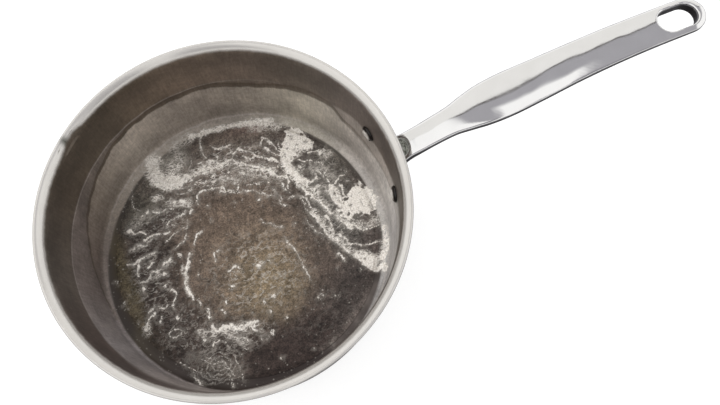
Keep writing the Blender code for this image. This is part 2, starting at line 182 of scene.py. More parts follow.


# What the fire left on the wall, with painted shade near its foot: azimuths in degrees from the handle,
# heights in mm below the rim
wallStain = {
    "tideLine": [(-100, -78), (-64, -39), (-10, -38), (2, -42), (17, -45), (27, -42.5), (32, -35),
                 (42, -34), (52, -36), (62, -40), (72, -39), (82, -36), (115, -36.5), (125, -38.7),
                 (132, -41), (139, -43), (152, -48), (160, -55), (167, -60), (175, -68), (183, -73),
                 (193, -75.5), (260, -78)],
    "tideHalf": [(-100, 0.6), (-64, 1.0), (-10, 1.6), (18, 2.6), (28, 2.6), (42, 3.8), (62, 2.8),
                 (98, 2.8), (125, 1.9), (152, 1.5), (177, 1.0), (260, 0.6)],
    "tideDark": [(-100, 0.0), (-64, 0.1), (-12, 0.25), (18, 0.45), (36, 0.85), (120, 0.95),
                 (150, 0.8), (180, 0.6), (200, 0.0)],
    # where the liquid stood: height, how softly the tone changes there, how pale its hairline is
    "level": [(-100, -33.7), (-64, -19), (-45, -19), (-20, -26), (0, -30), (22, -29.5), (32, -33.7),
              (260, -33.7)],
    "levelSoft": [(-100, 14), (-45, 10), (-20, 5), (0, 2.5), (40, 1.2), (190, 1.4), (208, 3.5),
                  (222, 9), (240, 14)],
    "levelPale": [(-100, 0.0), (50, 0.05), (90, 0.3), (125, 0.4), (220, 0.35), (235, 0.0)],
    "foot": -74.4,            # pale hairline above the corner
    "footPale": [(-100, 0.0), (-40, 0.4), (60, 0.4), (130, 0.4), (155, 0.15), (205, 0.05), (260, 0.0)],
    "hairline": "#8b8580",
    # tones above the level, between it and the tide line, and below that
    "upper": [(-100, "#4a4441"), (-60, "#433d38"), (-38, "#443e38"), (-15, "#49433d"), (0, "#423a35"),
              (20, "#504843"), (45, "#48413a"), (65, "#524840"), (95, "#52473d"), (108, "#4a4036"),
              (122, "#3f372e"), (150, "#3f372f"), (180, "#46403b"), (205, "#3f3633"), (222, "#3c3431"),
              (245, "#544c49"), (260, "#4a4441")],
    "middle": [(-100, "#756e6a"), (-62, "#7c7875"), (-40, "#8e8b88"), (-15, "#827e7a"), (0, "#7f7872"),
               (25, "#746d67"), (45, "#544b43"), (100, "#544a42"), (130, "#58504a"), (160, "#5d5551"),
               (180, "#645c59"), (205, "#757070"), (230, "#77706d"), (260, "#756e6a")],
    # the lower tones darken towards the near wall, about 225 to -66 degrees: painted shade
    "lower": [(-100, "#5a5450"), (-66, "#746f6c"), (-38, "#878482"), (-20, "#93908e"), (-5, "#999591"),
              (20, "#908a84"), (45, "#918b80"), (65, "#7f786f"), (85, "#776f67"), (100, "#7f776f"),
              (118, "#8d857c"), (145, "#71685f"), (165, "#695f59"), (185, "#766e6a"), (205, "#837b78"),
              (225, "#766e6b"), (240, "#625b57"), (260, "#5a5450")],
    "upperTop": 0.8,          # the upper tone's gain under the lip, and at its lower edge
    "upperLow": 1.18,
    "upperReach": (-33, -9),  # it changes between these heights
    "footShade": 0.76,        # painted shade: the lower tone's gain at the foot of the wall
    "footReach": (-74, -50),
    # radius in mm that the burnt film reaches up the corner
    "filmReach": [(-100, 89.6), (-70, 88), (-45, 86.5), (0, 84.6), (60, 84.4), (110, 84.2),
                  (140, 84.8), (165, 87), (185, 88.3), (205, 89), (235, 89.8), (260, 89.6)],
    "line": "#40372e",
    "lift": 1.9,
    # pattern sizes in mm; real brushing is 0.1 mm, drawn wider so that it shows
    "ragged": 4.0,
    "cloud": 14.0,
    "mottle": 2.2,
    "brushing": 0.9,
    "waver": 1.3,             # mm that every line strays, and the size of its waves in metres
    "waverSize": 0.010,
    "burntTop": -1.2,         # bare lip above this, fully burnt below the next, mm from the rim
    "burntFull": -5.4,
    "bulge": (131, 4, 1.4),   # the bare lip dips at the nick: azimuth, reach in degrees, mm
}


def drawLine(bm, vert, target, steps):
    start = vert.co.copy()
    path = [vert]
    for i in range(1, steps + 1):
        grown = bmesh.ops.extrude_vert_indiv(bm, verts=[path[-1]])["verts"][0]
        grown.co = start.lerp(Vector(target), i / steps)
        path.append(grown)
    return path[-1]


def drawArc(bm, vert, centre, angle, steps):
    turned = bmesh.ops.spin(bm, geom=[vert], cent=(centre[0], 0, centre[1]), axis=(0, -1, 0),
                            angle=angle, steps=steps)
    return next(item for item in turned["geom_last"] if isinstance(item, bmesh.types.BMVert))


def spinRound(bm, steps):
    bmesh.ops.remove_doubles(bm, verts=bm.verts, dist=1e-7)
    bmesh.ops.spin(bm, geom=list(bm.verts) + list(bm.edges), cent=(0, 0, 0), axis=(0, 0, 1),
                   angle=math.tau, steps=steps, use_merge=True)
    bmesh.ops.remove_doubles(bm, verts=bm.verts, dist=1e-6)


def byAzimuth(table, azimuth):
    angles = [row[0] for row in table]
    if isinstance(table[0][1], str):
        colours = np.array([linear(row[1]) for row in table])
        return np.stack([np.interp(azimuth, angles, colours[:, k]) for k in range(4)], axis=1)
    return np.interp(azimuth, angles, [row[1] for row in table])


def makePanShell(material):
    bm = bmesh.new()
    base, corner, lean = pan["base"], pan["cornerRadius"], pan["lean"]
    cornerX = pan["floorRadius"]
    bendX, bendZ = pan["inner"] + pan["lipBend"], pan["lipStart"]
    tip = bm.verts.new((0, 0, base))
    tip = drawLine(bm, tip, (cornerX - pan["closeBand"], 0, base), pan["floorSteps"])
    tip = drawLine(bm, tip, (cornerX, 0, base), pan["closeSteps"])
    tip = drawArc(bm, tip, (cornerX, base + corner), math.pi / 2 - lean, pan["bendSteps"])
    wallTop = (bendX - pan["lipBend"] * math.cos(lean), 0, bendZ + pan["lipBend"] * math.sin(lean))
    tip = drawLine(bm, tip, wallTop, pan["wallSteps"])
    tip = drawArc(bm, tip, (bendX, bendZ), lean - pan["lipAngle"], pan["bendSteps"])
    outward = math.pi - pan["lipAngle"]
    edge = (bendX + pan["lipCentre"] * math.cos(outward), bendZ + pan["lipCentre"] * math.sin(outward))
    tip = drawArc(bm, tip, edge, -math.pi, pan["roundSteps"])
    tip = drawArc(bm, tip, (bendX, bendZ), pan["lipAngle"] - lean, 8)
    outerCorner = corner + pan["wall"]
    wallFoot = (cornerX + outerCorner * math.cos(lean), 0, base + corner - outerCorner * math.sin(lean))
    tip = drawLine(bm, tip, wallFoot, pan["outerSteps"])
    before = set(bm.verts) - {tip}
    low = drawArc(bm, tip, (cornerX, base + corner), lean - math.pi / 2, pan["roundSteps"])
    for vert in bm.verts:   # the base is thicker than the wall, so this corner is taller than wide
        if vert not in before:
            vert.co.z = (base + corner) * (1 - (base + corner - vert.co.z) / outerCorner)
    drawLine(bm, low, (0, 0, 0), pan["roundSteps"])
    spinRound(bm, pan["segments"])

    nick = Vector((math.cos(pan["nickAngle"]), math.sin(pan["nickAngle"]), 0))
    for vert in bm.verts:
        radius = vert.co.xy.length
        inside = pan["inner"] + 0.0001 < radius < pan["rimRadius"] - pan["wall"]
        if inside and pan["lipStart"] < vert.co.z < pan["rimHeight"] - pan["wall"] / 2:
            along = (vert.co.xy - nick.xy * radius).length / pan["nickLength"]
            vert.co += nick * pan["nickDepth"] * math.exp(-along * along)

    shell = finishPiece("panShell", bm, material, "pan_body")
    paintShell(shell.data)
    return shell


def paintShell(mesh):
    # attributes the steel's shader reads; heights count in mm from the top of the rim
    places = vertexPlaces(mesh)
    radius = np.hypot(places[:, 0], places[:, 1])
    azimuth = (np.degrees(np.arctan2(places[:, 1], places[:, 0])) + 100) % 360 - 100
    depth = (places[:, 2] - pan["rimHeight"]) * 1000
    tables = {name: table for name, table in wallStain.items() if isinstance(table, list)}
    around = {name: byAzimuth(table, azimuth) for name, table in tables.items()}
    waver = noiseField(places[:, 0], places[:, 1], wallStain["waverSize"], 2.0) * wallStain["waver"]
    setNumbers(mesh, "tide", depth - around["tideLine"] + waver)
    setNumbers(mesh, "level", depth - around["level"] + waver * 0.3)
    setNumbers(mesh, "foot", depth - wallStain["foot"] + waver * 0.5)
    for name in ("tideHalf", "tideDark", "levelSoft", "levelPale", "footPale"):
        setNumbers(mesh, name, around[name])

    rise = smoothStep(depth, *wallStain["upperReach"])
    gain = wallStain["upperLow"] * (1 - rise) + wallStain["upperTop"] * rise
    setColours(mesh, "stainUpper", around["upper"] * gain[:, None])
    setColours(mesh, "stainMiddle", around["middle"])
    # painted shade: the lower tone darkens towards the wall's foot
    aboveFoot = smoothStep(depth, *wallStain["footReach"])[:, None]
    footTone = around["lower"] * wallStain["footShade"]
    setColours(mesh, "stainLower", footTone * (1 - aboveFoot) + around["lower"] * aboveFoot)

    lean = math.tan(pan["lean"])
    wallSide = pan["floorRadius"] + (places[:, 2] - pan["base"]) * lean + pan["cornerRadius"] + 0.0012
    reaches = radius < wallSide + np.where(depth > -7.5, 0.004, 0)   # past the wall only on the lip
    inside = (places[:, 2] > pan["base"] - 0.0003) & reaches
    bulgeAt, bulgeWide, bulgeDeep = wallStain["bulge"]
    burntDepth = depth - bulgeDeep * np.exp(-((azimuth - bulgeAt) / bulgeWide) ** 2)
    setNumbers(mesh, "burnt", inside * smoothStep(burntDepth, wallStain["burntTop"], wallStain["burntFull"]))
    # painted reflection: the nick's dent shows as a dark mark on the lip
    nick = np.hypot(places[:, 0] - pan["nickMarkAt"] * math.cos(pan["nickAngle"]),
                    places[:, 1] - pan["nickMarkAt"] * math.sin(pan["nickAngle"])) * 1000
    onLip = places[:, 2] > pan["lipStart"]
    setNumbers(mesh, "nickMark", np.exp(-(nick / pan["nickMarkSize"]) ** 2) * onLip)

    low = places[:, 2] < pan["base"] + pan["cornerRadius"]
    share = inside * low * smoothStep(places[:, 2], pan["base"] + 0.0045, pan["base"] + 0.0025)
    reach = around["filmReach"] / 1000 + waver * 0.0003
    paintDeposit(mesh, places, share, inside * smoothStep(radius, reach + 0.0006, reach - 0.0006))


def makeStainedSteel():
    # Drawn stainless sheet, brushed; heat browned it inside and left a tide mark, the lip stayed bright;
    # painted shade darkens the wall's foot
    material, tree, shader = startMaterial("heatStainedSteel")
    place = addNode(tree, "TexCoord").outputs["Object"]
    painted = {name: addNode(tree, "Attribute", {"attribute_name": name}).outputs["Fac"] for name in (
        "tide", "tideHalf", "tideDark", "level", "levelSoft", "levelPale", "foot", "footPale",
        "burnt", "nickMark", "filmShare")}
    tones = {name: addNode(tree, "Attribute", {"attribute_name": name}).outputs["Color"] for name in (
        "stainUpper", "stainMiddle", "stainLower", "filmTone")}
    ragged = addNode(tree, "TexNoise", None, {
        "Vector": place, "Scale": perMetre(wallStain["ragged"]), "Detail": 5.0, "Roughness": 0.6}).outputs[0]
    ragged = addNode(tree, "MapRange", None, {
        "Value": ragged, "From Min": 0.3, "From Max": 0.7, "To Min": -1.0, "To Max": 1.0}).outputs[0]
    raggedTide = addNode(tree, "Math", multiplyAdd, {0: ragged, 1: 0.7, 2: painted["tide"]}).outputs[0]
    overTide = addNode(tree, "MapRange", smooth, {
        "Value": raggedTide, "From Min": -1.2, "From Max": 1.2}).outputs[0]
    raggedLevel = addNode(tree, "Math", multiplyAdd, {
        0: ragged, 1: 0.5, 2: painted["level"]}).outputs[0]
    raggedLevel = addNode(tree, "Math", {"operation": "DIVIDE"}, {
        0: raggedLevel, 1: painted["levelSoft"]}).outputs[0]
    overLevel = addNode(tree, "MapRange", smooth, {
        "Value": raggedLevel, "From Min": -0.5, "From Max": 1.5}).outputs[0]
    above = addNode(tree, "Mix", blend, {
        0: overLevel, 6: tones["stainMiddle"], 7: tones["stainUpper"]}).outputs[2]
    stain = addNode(tree, "Mix", blend, {0: overTide, 6: tones["stainLower"], 7: above}).outputs[2]
    offTide = addNode(tree, "Math", {"operation": "ABSOLUTE"}, {0: raggedTide}).outputs[0]
    offTide = addNode(tree, "Math", {"operation": "DIVIDE"}, {0: offTide, 1: painted["tideHalf"]}).outputs[0]
    onTide = addNode(tree, "MapRange", smooth, {
        "Value": offTide, "From Min": 0.55, "From Max": 1.25, "To Min": 1.0, "To Max": 0.0}).outputs[0]
    onTide = addNode(tree, "Math", multiply, {0: onTide, 1: painted["tideDark"]}).outputs[0]
    stain = addNode(tree, "Mix", blend, {0: onTide, 6: stain, 7: linear(wallStain["line"])}).outputs[2]
    for line, strength in (("level", "levelPale"), ("foot", "footPale")):
        off = addNode(tree, "Math", {"operation": "ABSOLUTE"}, {0: painted[line]}).outputs[0]
        pale = addNode(tree, "MapRange", smooth, {
            "Value": off, "From Min": 0.2, "From Max": 0.9, "To Min": 1.0, "To Max": 0.0}).outputs[0]
        pale = addNode(tree, "Math", multiply, {0: pale, 1: painted[strength]}).outputs[0]
        stain = addNode(tree, "Mix", blend, {
            0: pale, 6: stain, 7: linear(wallStain["hairline"])}).outputs[2]

    # Soft soot clouds and fine mottling
    cloud = addNode(tree, "TexNoise", None, {
        "Vector": place, "Scale": perMetre(wallStain["cloud"]), "Detail": 4.0, "Roughness": 0.55}).outputs[0]
    cloudGain = addNode(tree, "MapRange", None, {
        "Value": cloud, "From Min": 0.3, "From Max": 0.7, "To Min": 0.8, "To Max": 1.22}).outputs[0]
    mottle = addNode(tree, "TexNoise", None, {
        "Vector": place, "Scale": perMetre(wallStain["mottle"]), "Detail": 6.0,
        "Roughness": 0.65}).outputs[0]
    mottleGain = addNode(tree, "MapRange", None, {
        "Value": mottle, "From Min": 0.3, "From Max": 0.7, "To Min": 0.8, "To Max": 1.2}).outputs[0]
    # Brushing runs up the wall
    stretched = addNode(tree, "Mapping", None, {"Vector": place, "Scale": (1.0, 1.0, 0.07)}).outputs[0]
    streak = addNode(tree, "TexNoise", None, {
        "Vector": stretched, "Scale": perMetre(wallStain["brushing"]), "Detail": 3.0,
        "Roughness": 0.6}).outputs[0]
    streakGain = addNode(tree, "MapRange", None, {
        "Value": streak, "From Min": 0.3, "From Max": 0.7, "To Min": 0.84, "To Max": 1.16}).outputs[0]
    gain = addNode(tree, "Math", multiply, {0: cloudGain, 1: mottleGain}).outputs[0]
    gain = addNode(tree, "Math", multiply, {0: gain, 1: streakGain}).outputs[0]
    gain = addNode(tree, "Math", multiply, {0: gain, 1: wallStain["lift"]}).outputs[0]
    stain = addNode(tree, "VectorMath", {"operation": "SCALE"}, {0: stain, "Scale": gain}).outputs[0]
    film = addNode(tree, "VectorMath", {"operation": "SCALE"}, {
        0: tones["filmTone"], "Scale": crust["lift"]}).outputs[0]
    stain = addNode(tree, "Mix", blend, {0: painted["filmShare"], 6: stain, 7: film}).outputs[2]
    stain, scale = addDeposit(tree, place, stain)[:2]

    steel = addNode(tree, "Mix", blend, {
        0: cloud, 6: linear(pan["bareSteel"][0]), 7: linear(pan["bareSteel"][1])}).outputs[2]
    # painted dark reflection at the nick
    steel = addNode(tree, "Mix", blend, {
        0: painted["nickMark"], 6: steel, 7: linear(pan["nickColour"])}).outputs[2]
    burntRagged = addNode(tree, "Math", multiplyAdd, {
        0: ragged, 1: 0.1, 2: painted["burnt"]}).outputs[0]
    burntShare = addNode(tree, "MapRange", smooth, {
        "Value": burntRagged, "From Min": 0.1, "From Max": 0.9}).outputs[0]
    colour = addNode(tree, "Mix", blend, {0: burntShare, 6: steel, 7: stain}).outputs[2]
    tree.links.new(colour, shader.inputs["Base Color"])
    metal = addNode(tree, "MapRange", None, {
        "Value": burntShare, "To Min": pan["metallic"][0], "To Max": pan["metallic"][1]}).outputs[0]
    bare = addNode(tree, "Math", {"operation": "SUBTRACT"}, {0: 1.0, 1: scale}).outputs[0]
    metal = addNode(tree, "Math", multiply, {0: metal, 1: bare}).outputs[0]
    tree.links.new(metal, shader.inputs["Metallic"])
    rough = addNode(tree, "MapRange", None, {
        "Value": burntShare, "To Min": pan["roughness"][0], "To Max": pan["roughness"][1]}).outputs[0]
    tree.links.new(rough, shader.inputs["Roughness"])
    strength = addNode(tree, "MapRange", None, {
        "Value": burntShare, "To Min": pan["brushDepth"][0], "To Max": pan["brushDepth"][1]}).outputs[0]
    bump = addNode(tree, "Bump", None, {
        "Strength": strength, "Distance": 0.0001, "Height": streak}).outputs[0]
    tree.links.new(bump, shader.inputs["Normal"])
    return material


# Handle casting: flange, neck, domed grip and hanging loop in one

handle = {
    "gripHalfWidth": 0.0126,
    "neckHalfWidth": 0.0076,
    "loopHalfWidth": 0.0103,
    "crown": 0.0025,
    "belly": 0.0075,
    "reach": 0.2778,
    "rise": 0.021,
    "neckDrop": 0.013,
    "neckStandoff": 0.004,
    "rootDrop": 0.004,
    "rootSpread": 0.0014,
    "holeLength": 0.0225,
    "holeWidth": 0.0135,
    "tipWall": 0.0048,
    "holeRound": 0.0012,
    "holeRoundDeep": 0.0022,
    "scoop": (0.0055, 0.0060, 0.0065),   # its reach along, across and down
    "scoopClear": 0.001,
    "flangeThick": 0.0035,
    "flangeHalfWidth": 0.029,
    "flangeHeight": 0.024,
    "flangeCorner": 0.009,
    "flangeChamfer": 0.0009,
    "flangeCuts": 24,         # enough for the plate to follow the wall
    "lengthSteps": 170,
    "aroundSteps": 96,
    "voxel": 0.00048,
    "buffedSteel": ("#eeedeb", "#faf9f8"),
    # painted shade: the dark tones of the handle's underside
    "undersideShade": ("#343130", "#52504e"),
    # painted shade and reflection in the scoop, speckled
    "scoopShade": ("#5a5c54", "#d2d3cb"),
    "roughness": (0.05, 0.1),   # of the buffed steel; the rougher underside and the scoop add to it
    "undersideRoughness": 0.25,
    "scoopRoughness": 0.5,
    # pattern sizes in mm: buffing lines, drawn wide so that they show, clouds, swell and grit
    "buffing": 0.5,
    "cloud": 11.0,
    "swell": 16.0,
    "grit": 1.2,
    "undersideFrom": 0.30,         # painted shade: the skin is painted dark, and made rougher, where it turns down past this
    "fit": 0.0003,            # gap between seated pieces
}
handle["loopCentre"] = handle["reach"] - handle["loopHalfWidth"]
handle["holeCentre"] = handle["reach"] - handle["tipWall"] - handle["holeLength"] / 2
handle["neckStart"] = pan["rimRadius"] + handle["neckStandoff"]

rivet = {
    "spacing": 0.042,
    "drop": 0.026,
    "headRadius": 0.005,
    "headHeight": 0.0024,
    "shankRadius": 0.0025,
    "segments": 48,
    "domeSteps": 14,
    "cloud": 3.5,             # mm
    # painted highlight: the crown's bright tones; a painted dark reflection round them
    "crown": ("#a8a29b", "#d6d1cb", "#f4f1ec"),
    "soot": "#1d1916",
    "darkFrom": 0.66,         # where the painted dark reflection starts and where it is full, as shares of the head's radius
    "darkFull": 0.97,
    "roughness": (0.12, 0.28),
    "metallic": 0.4,
}
rivet["height"] = pan["rimHeight"] - rivet["drop"]
rivet["wallRadius"] = wallRadius(rivet["height"])
handle["flangeInner"] = rivet["wallRadius"] + pan["wall"] + handle["fit"]   # at the rivets' height
handle["flangeOuter"] = handle["flangeInner"] + handle["flangeThick"]
rivet["azimuth"] = rivet["spacing"] / 2 / handle["flangeInner"]


def handleStations():
    rootZ = pan["rimHeight"] - handle["neckDrop"]
    riseAll = pan["rimHeight"] + handle["rise"] - rootZ
    reach = handle["loopCentre"] - handle["neckStart"]
    neck, grip, loop = handle["neckHalfWidth"], handle["gripHalfWidth"], handle["loopHalfWidth"]
    crown, belly = handle["crown"], handle["belly"]
    # share of the reach, share of the rise, half width, crown, belly
    shares = [
        (0.00, 0.00, neck, 0.6 * crown, 1.45 * belly),
        (0.05, 0.09, neck, 0.8 * crown, 1.05 * belly),
        (0.11, 0.22, neck + 0.0003, 0.9 * crown, 0.85 * belly),
        (0.17, 0.34, neck + 0.0009, 0.9 * crown, 0.80 * belly),
        (0.22, 0.43, 0.48 * neck + 0.52 * grip, 0.9 * crown, 0.85 * belly),
        (0.28, 0.51, grip - 0.0007, crown, 0.95 * belly),
        (0.36, 0.59, grip, crown, belly),
        (0.47, 0.70, grip - 0.0006, crown, belly),
        (0.59, 0.83, grip - 0.0014, crown, 0.96 * belly),
        (0.72, 0.93, grip - 0.0019, 0.9 * crown, 0.88 * belly),
        (0.85, 0.98, loop + 0.0001, 0.8 * crown, 0.8 * belly),
        (1.00, 1.00, loop, 0.7 * crown, 0.75 * belly),
    ]
    rows = [(handle["neckStart"] + u * reach, rootZ + v * riseAll, w, c, d) for u, v, w, c, d in shares]
    buried = (handle["flangeOuter"] - 0.6 * handle["flangeThick"], rootZ - handle["rootDrop"],
              neck + handle["rootSpread"], 0.2 * crown, 2 * belly)
    return [buried] + rows


def smoothValue(stations, column, x):
    if x <= stations[0][0]:
        return stations[0][column]
    if x >= stations[-1][0]:
        return stations[-1][column]
    k = next(i for i in range(len(stations) - 1) if x <= stations[i + 1][0])

    def slope(i):
        low, high = max(i - 1, 0), min(i + 1, len(stations) - 1)
        return (stations[high][column] - stations[low][column]) / (stations[high][0] - stations[low][0])

    span = stations[k + 1][0] - stations[k][0]
    t = (x - stations[k][0]) / span
    a, b = stations[k][column], stations[k + 1][column]
    return (a * (1 + 2 * t) * (1 - t) ** 2 + slope(k) * span * t * (1 - t) ** 2
            + b * t * t * (3 - 2 * t) + slope(k + 1) * span * t * t * (t - 1))


def growTube(bm, sections, shape):
    # one round loop extruded through all sections; shape gives a point from the loop's angle
    turn = bm.verts.layers.float.new("turn")
    loop = bmesh.ops.create_circle(bm, segments=sections["around"], radius=1.0)["verts"]
    for vert in loop:
        vert[turn] = math.atan2(vert.co.y, vert.co.x)
        vert.co = shape(sections["rows"][0], vert[turn])
    edges = list(bm.edges)
    bmesh.ops.contextual_create(bm, geom=edges)
    for row in sections["rows"][1:]:
        grown = bmesh.ops.extrude_edge_only(bm, edges=edges)["geom"]
        for item in grown:
            if isinstance(item, bmesh.types.BMVert):
                item.co = shape(row, item[turn])
        edges = [item for item in grown if isinstance(item, bmesh.types.BMEdge) and item.is_boundary]
    bmesh.ops.contextual_create(bm, geom=edges)


def handleSection(row, angle):
    x, edgeZ, halfWidth, crown, belly = row
    across, up = math.cos(angle), math.sin(angle)
    power = 0.9 if up > 0 else 0.62
    height = crown if up > 0 else belly
    return Vector((x, halfWidth * math.copysign(abs(across) ** power, across),
                   edgeZ + height * math.copysign(abs(up) ** power, up)))


def makeFlangeMesh(bm):
    thick, half, tall = handle["flangeThick"], handle["flangeHalfWidth"], handle["flangeHeight"]
    bmesh.ops.create_cube(bm, size=1.0, matrix=Matrix.Diagonal((thick, 2 * half, tall, 1)))
    corners = [edge for edge in bm.edges if abs(edge.verts[0].co.x - edge.verts[1].co.x) > thick / 2]
    bmesh.ops.bevel(bm, geom=corners, offset=handle["flangeCorner"], affect="EDGES", segments=10,
                    profile=0.5, material=-1)
    front = [edge for edge in bm.edges if all(vert.co.x > 0 for vert in edge.verts)]
    bmesh.ops.bevel(bm, geom=front, offset=handle["flangeChamfer"], affect="EDGES", segments=1,
                    profile=0.5, material=-1)
    cuts = handle["flangeCuts"]
    for i in range(1, cuts):
        bmesh.ops.bisect_plane(bm, geom=list(bm.verts) + list(bm.edges) + list(bm.faces),
                               plane_co=(0, half * (2 * i / cuts - 1), 0), plane_no=(0, 1, 0))
    middle = handle["flangeInner"] + thick / 2
    for vert in bm.verts:
        radius = middle + vert.co.x + vert.co.z * math.tan(pan["lean"])
        turn = vert.co.y / handle["flangeInner"]
        vert.co = (radius * math.cos(turn), radius * math.sin(turn), rivet["height"] + vert.co.z)


def makeHoleMesh(bm):
    mouth = pan["rimHeight"] + handle["rise"]
    top, bottom = mouth + handle["crown"], mouth - handle["belly"]
    flare, deep = handle["holeRound"], handle["holeRoundDeep"]
    rows = [(bottom - 3 * deep, 2.5 * flare), (bottom + 0.2 * deep, 1.1 * flare),
            (bottom + 0.6 * deep, 0.5 * flare), (bottom + deep, 0.1 * flare),
            (bottom + 1.3 * deep, 0.0), (top - 1.2 * deep, 0.0), (top - 0.8 * deep, 0.15 * flare),
            (top - 0.4 * deep, 0.55 * flare), (top, 1.1 * flare), (top + 3 * deep, 3.0 * flare)]
    straight = (handle["holeLength"] - handle["holeWidth"]) / 2

    def shape(row, angle):
        z, grow = row
        radius = handle["holeWidth"] / 2 + grow
        side = straight if math.cos(angle) > 0 else -straight
        return Vector((handle["holeCentre"] + side + radius * math.cos(angle), radius * math.sin(angle), z))

    growTube(bm, {"around": 72, "rows": rows}, shape)


def makeCutter(name, fill):
    bm = bmesh.new()
    fill(bm)
    bmesh.ops.recalc_face_normals(bm, faces=bm.faces)
    mesh = bpy.data.meshes.new(name)
    bm.to_mesh(mesh)
    bm.free()
    cutter = bpy.data.objects.new(name, mesh)
    bpy.context.scene.collection.objects.link(cutter)
    return cutter


def makeHandleCasting(material):
    stations = handleStations()
    start, end = stations[0][0], handle["loopCentre"]
    count = handle["lengthSteps"]
    rows = []
    for i in range(count + 1):
        x = start + (end - start) * i / count
        rows.append([x] + [smoothValue(stations, column, x) for column in range(1, 5)])
    x, edgeZ, halfWidth, crown, belly = stations[-1]
    # the loop's round end, with closer steps towards its tip
    for degrees in (6, 12, 18, 24, 30, 36, 42, 48, 54, 60, 66, 71, 76, 80, 84, 87, 89):
        angle = math.radians(degrees)
        shrink = math.cos(angle) ** 0.45
        rows.append((x + handle["loopHalfWidth"] * math.sin(angle), edgeZ,
                     halfWidth * math.cos(angle), crown * shrink, belly * shrink))
    skin = {"around": handle["aroundSteps"], "rows": rows}
    casting = makeCutter("castingRough", lambda bm: growTube(bm, skin, handleSection))
    flange = makeCutter("flangeRough", makeFlangeMesh)

    def fillScoop(bm):
        place = Matrix.Translation((pan["rimRadius"] + handle["scoopClear"], 0,
                                    pan["rimHeight"] - handle["neckDrop"] + handle["crown"]))
        bmesh.ops.create_uvsphere(bm, u_segments=48, v_segments=28, radius=1.0,
                                  matrix=place @ Matrix.Diagonal((*handle["scoop"], 1)))

    scoop = makeCutter("scoopRough", fillScoop)
    hole = makeCutter("holeRough", makeHoleMesh)
    for other, operation in ((flange, "UNION"), (scoop, "DIFFERENCE"), (hole, "DIFFERENCE")):
        cut = casting.modifiers.new(other.name, "BOOLEAN")
        cut.object = other
        cut.operation = operation
        cut.solver = "EXACT"
    remesh = casting.modifiers.new("evenSkin", "REMESH")
    remesh.mode = "VOXEL"
    remesh.voxel_size = handle["voxel"]
    soften = casting.modifiers.new("castEdges", "SMOOTH")
    soften.factor = 0.5
    soften.iterations = 5
    ready = casting.evaluated_get(bpy.context.evaluated_depsgraph_get())
    mesh = bpy.data.meshes.new_from_object(ready)
    mesh.name = "handleCasting"
    for rough in (casting, flange, scoop, hole):
        bpy.data.objects.remove(rough, do_unlink=True)
    piece = placePiece("handleCasting", mesh, material, "handle", 60)
    places = vertexPlaces(mesh)
    # where the skin faces down it gets painted shade
    upward = np.array([vert.normal.z for vert in mesh.vertices])
    setNumbers(mesh, "underside", smoothStep(upward, handle["undersideFrom"], handle["undersideFrom"] - 0.25))
    # painted shade and reflection: the scoop's share
    reach, side = handle["scoop"][:2]
    scoopAt = pan["rimRadius"] + handle["scoopClear"]
    fromScoop = np.hypot((places[:, 0] - scoopAt) / reach, places[:, 1] / side)
    setNumbers(mesh, "soot", smoothStep(fromScoop, 1.02, 0.86))
    return piece


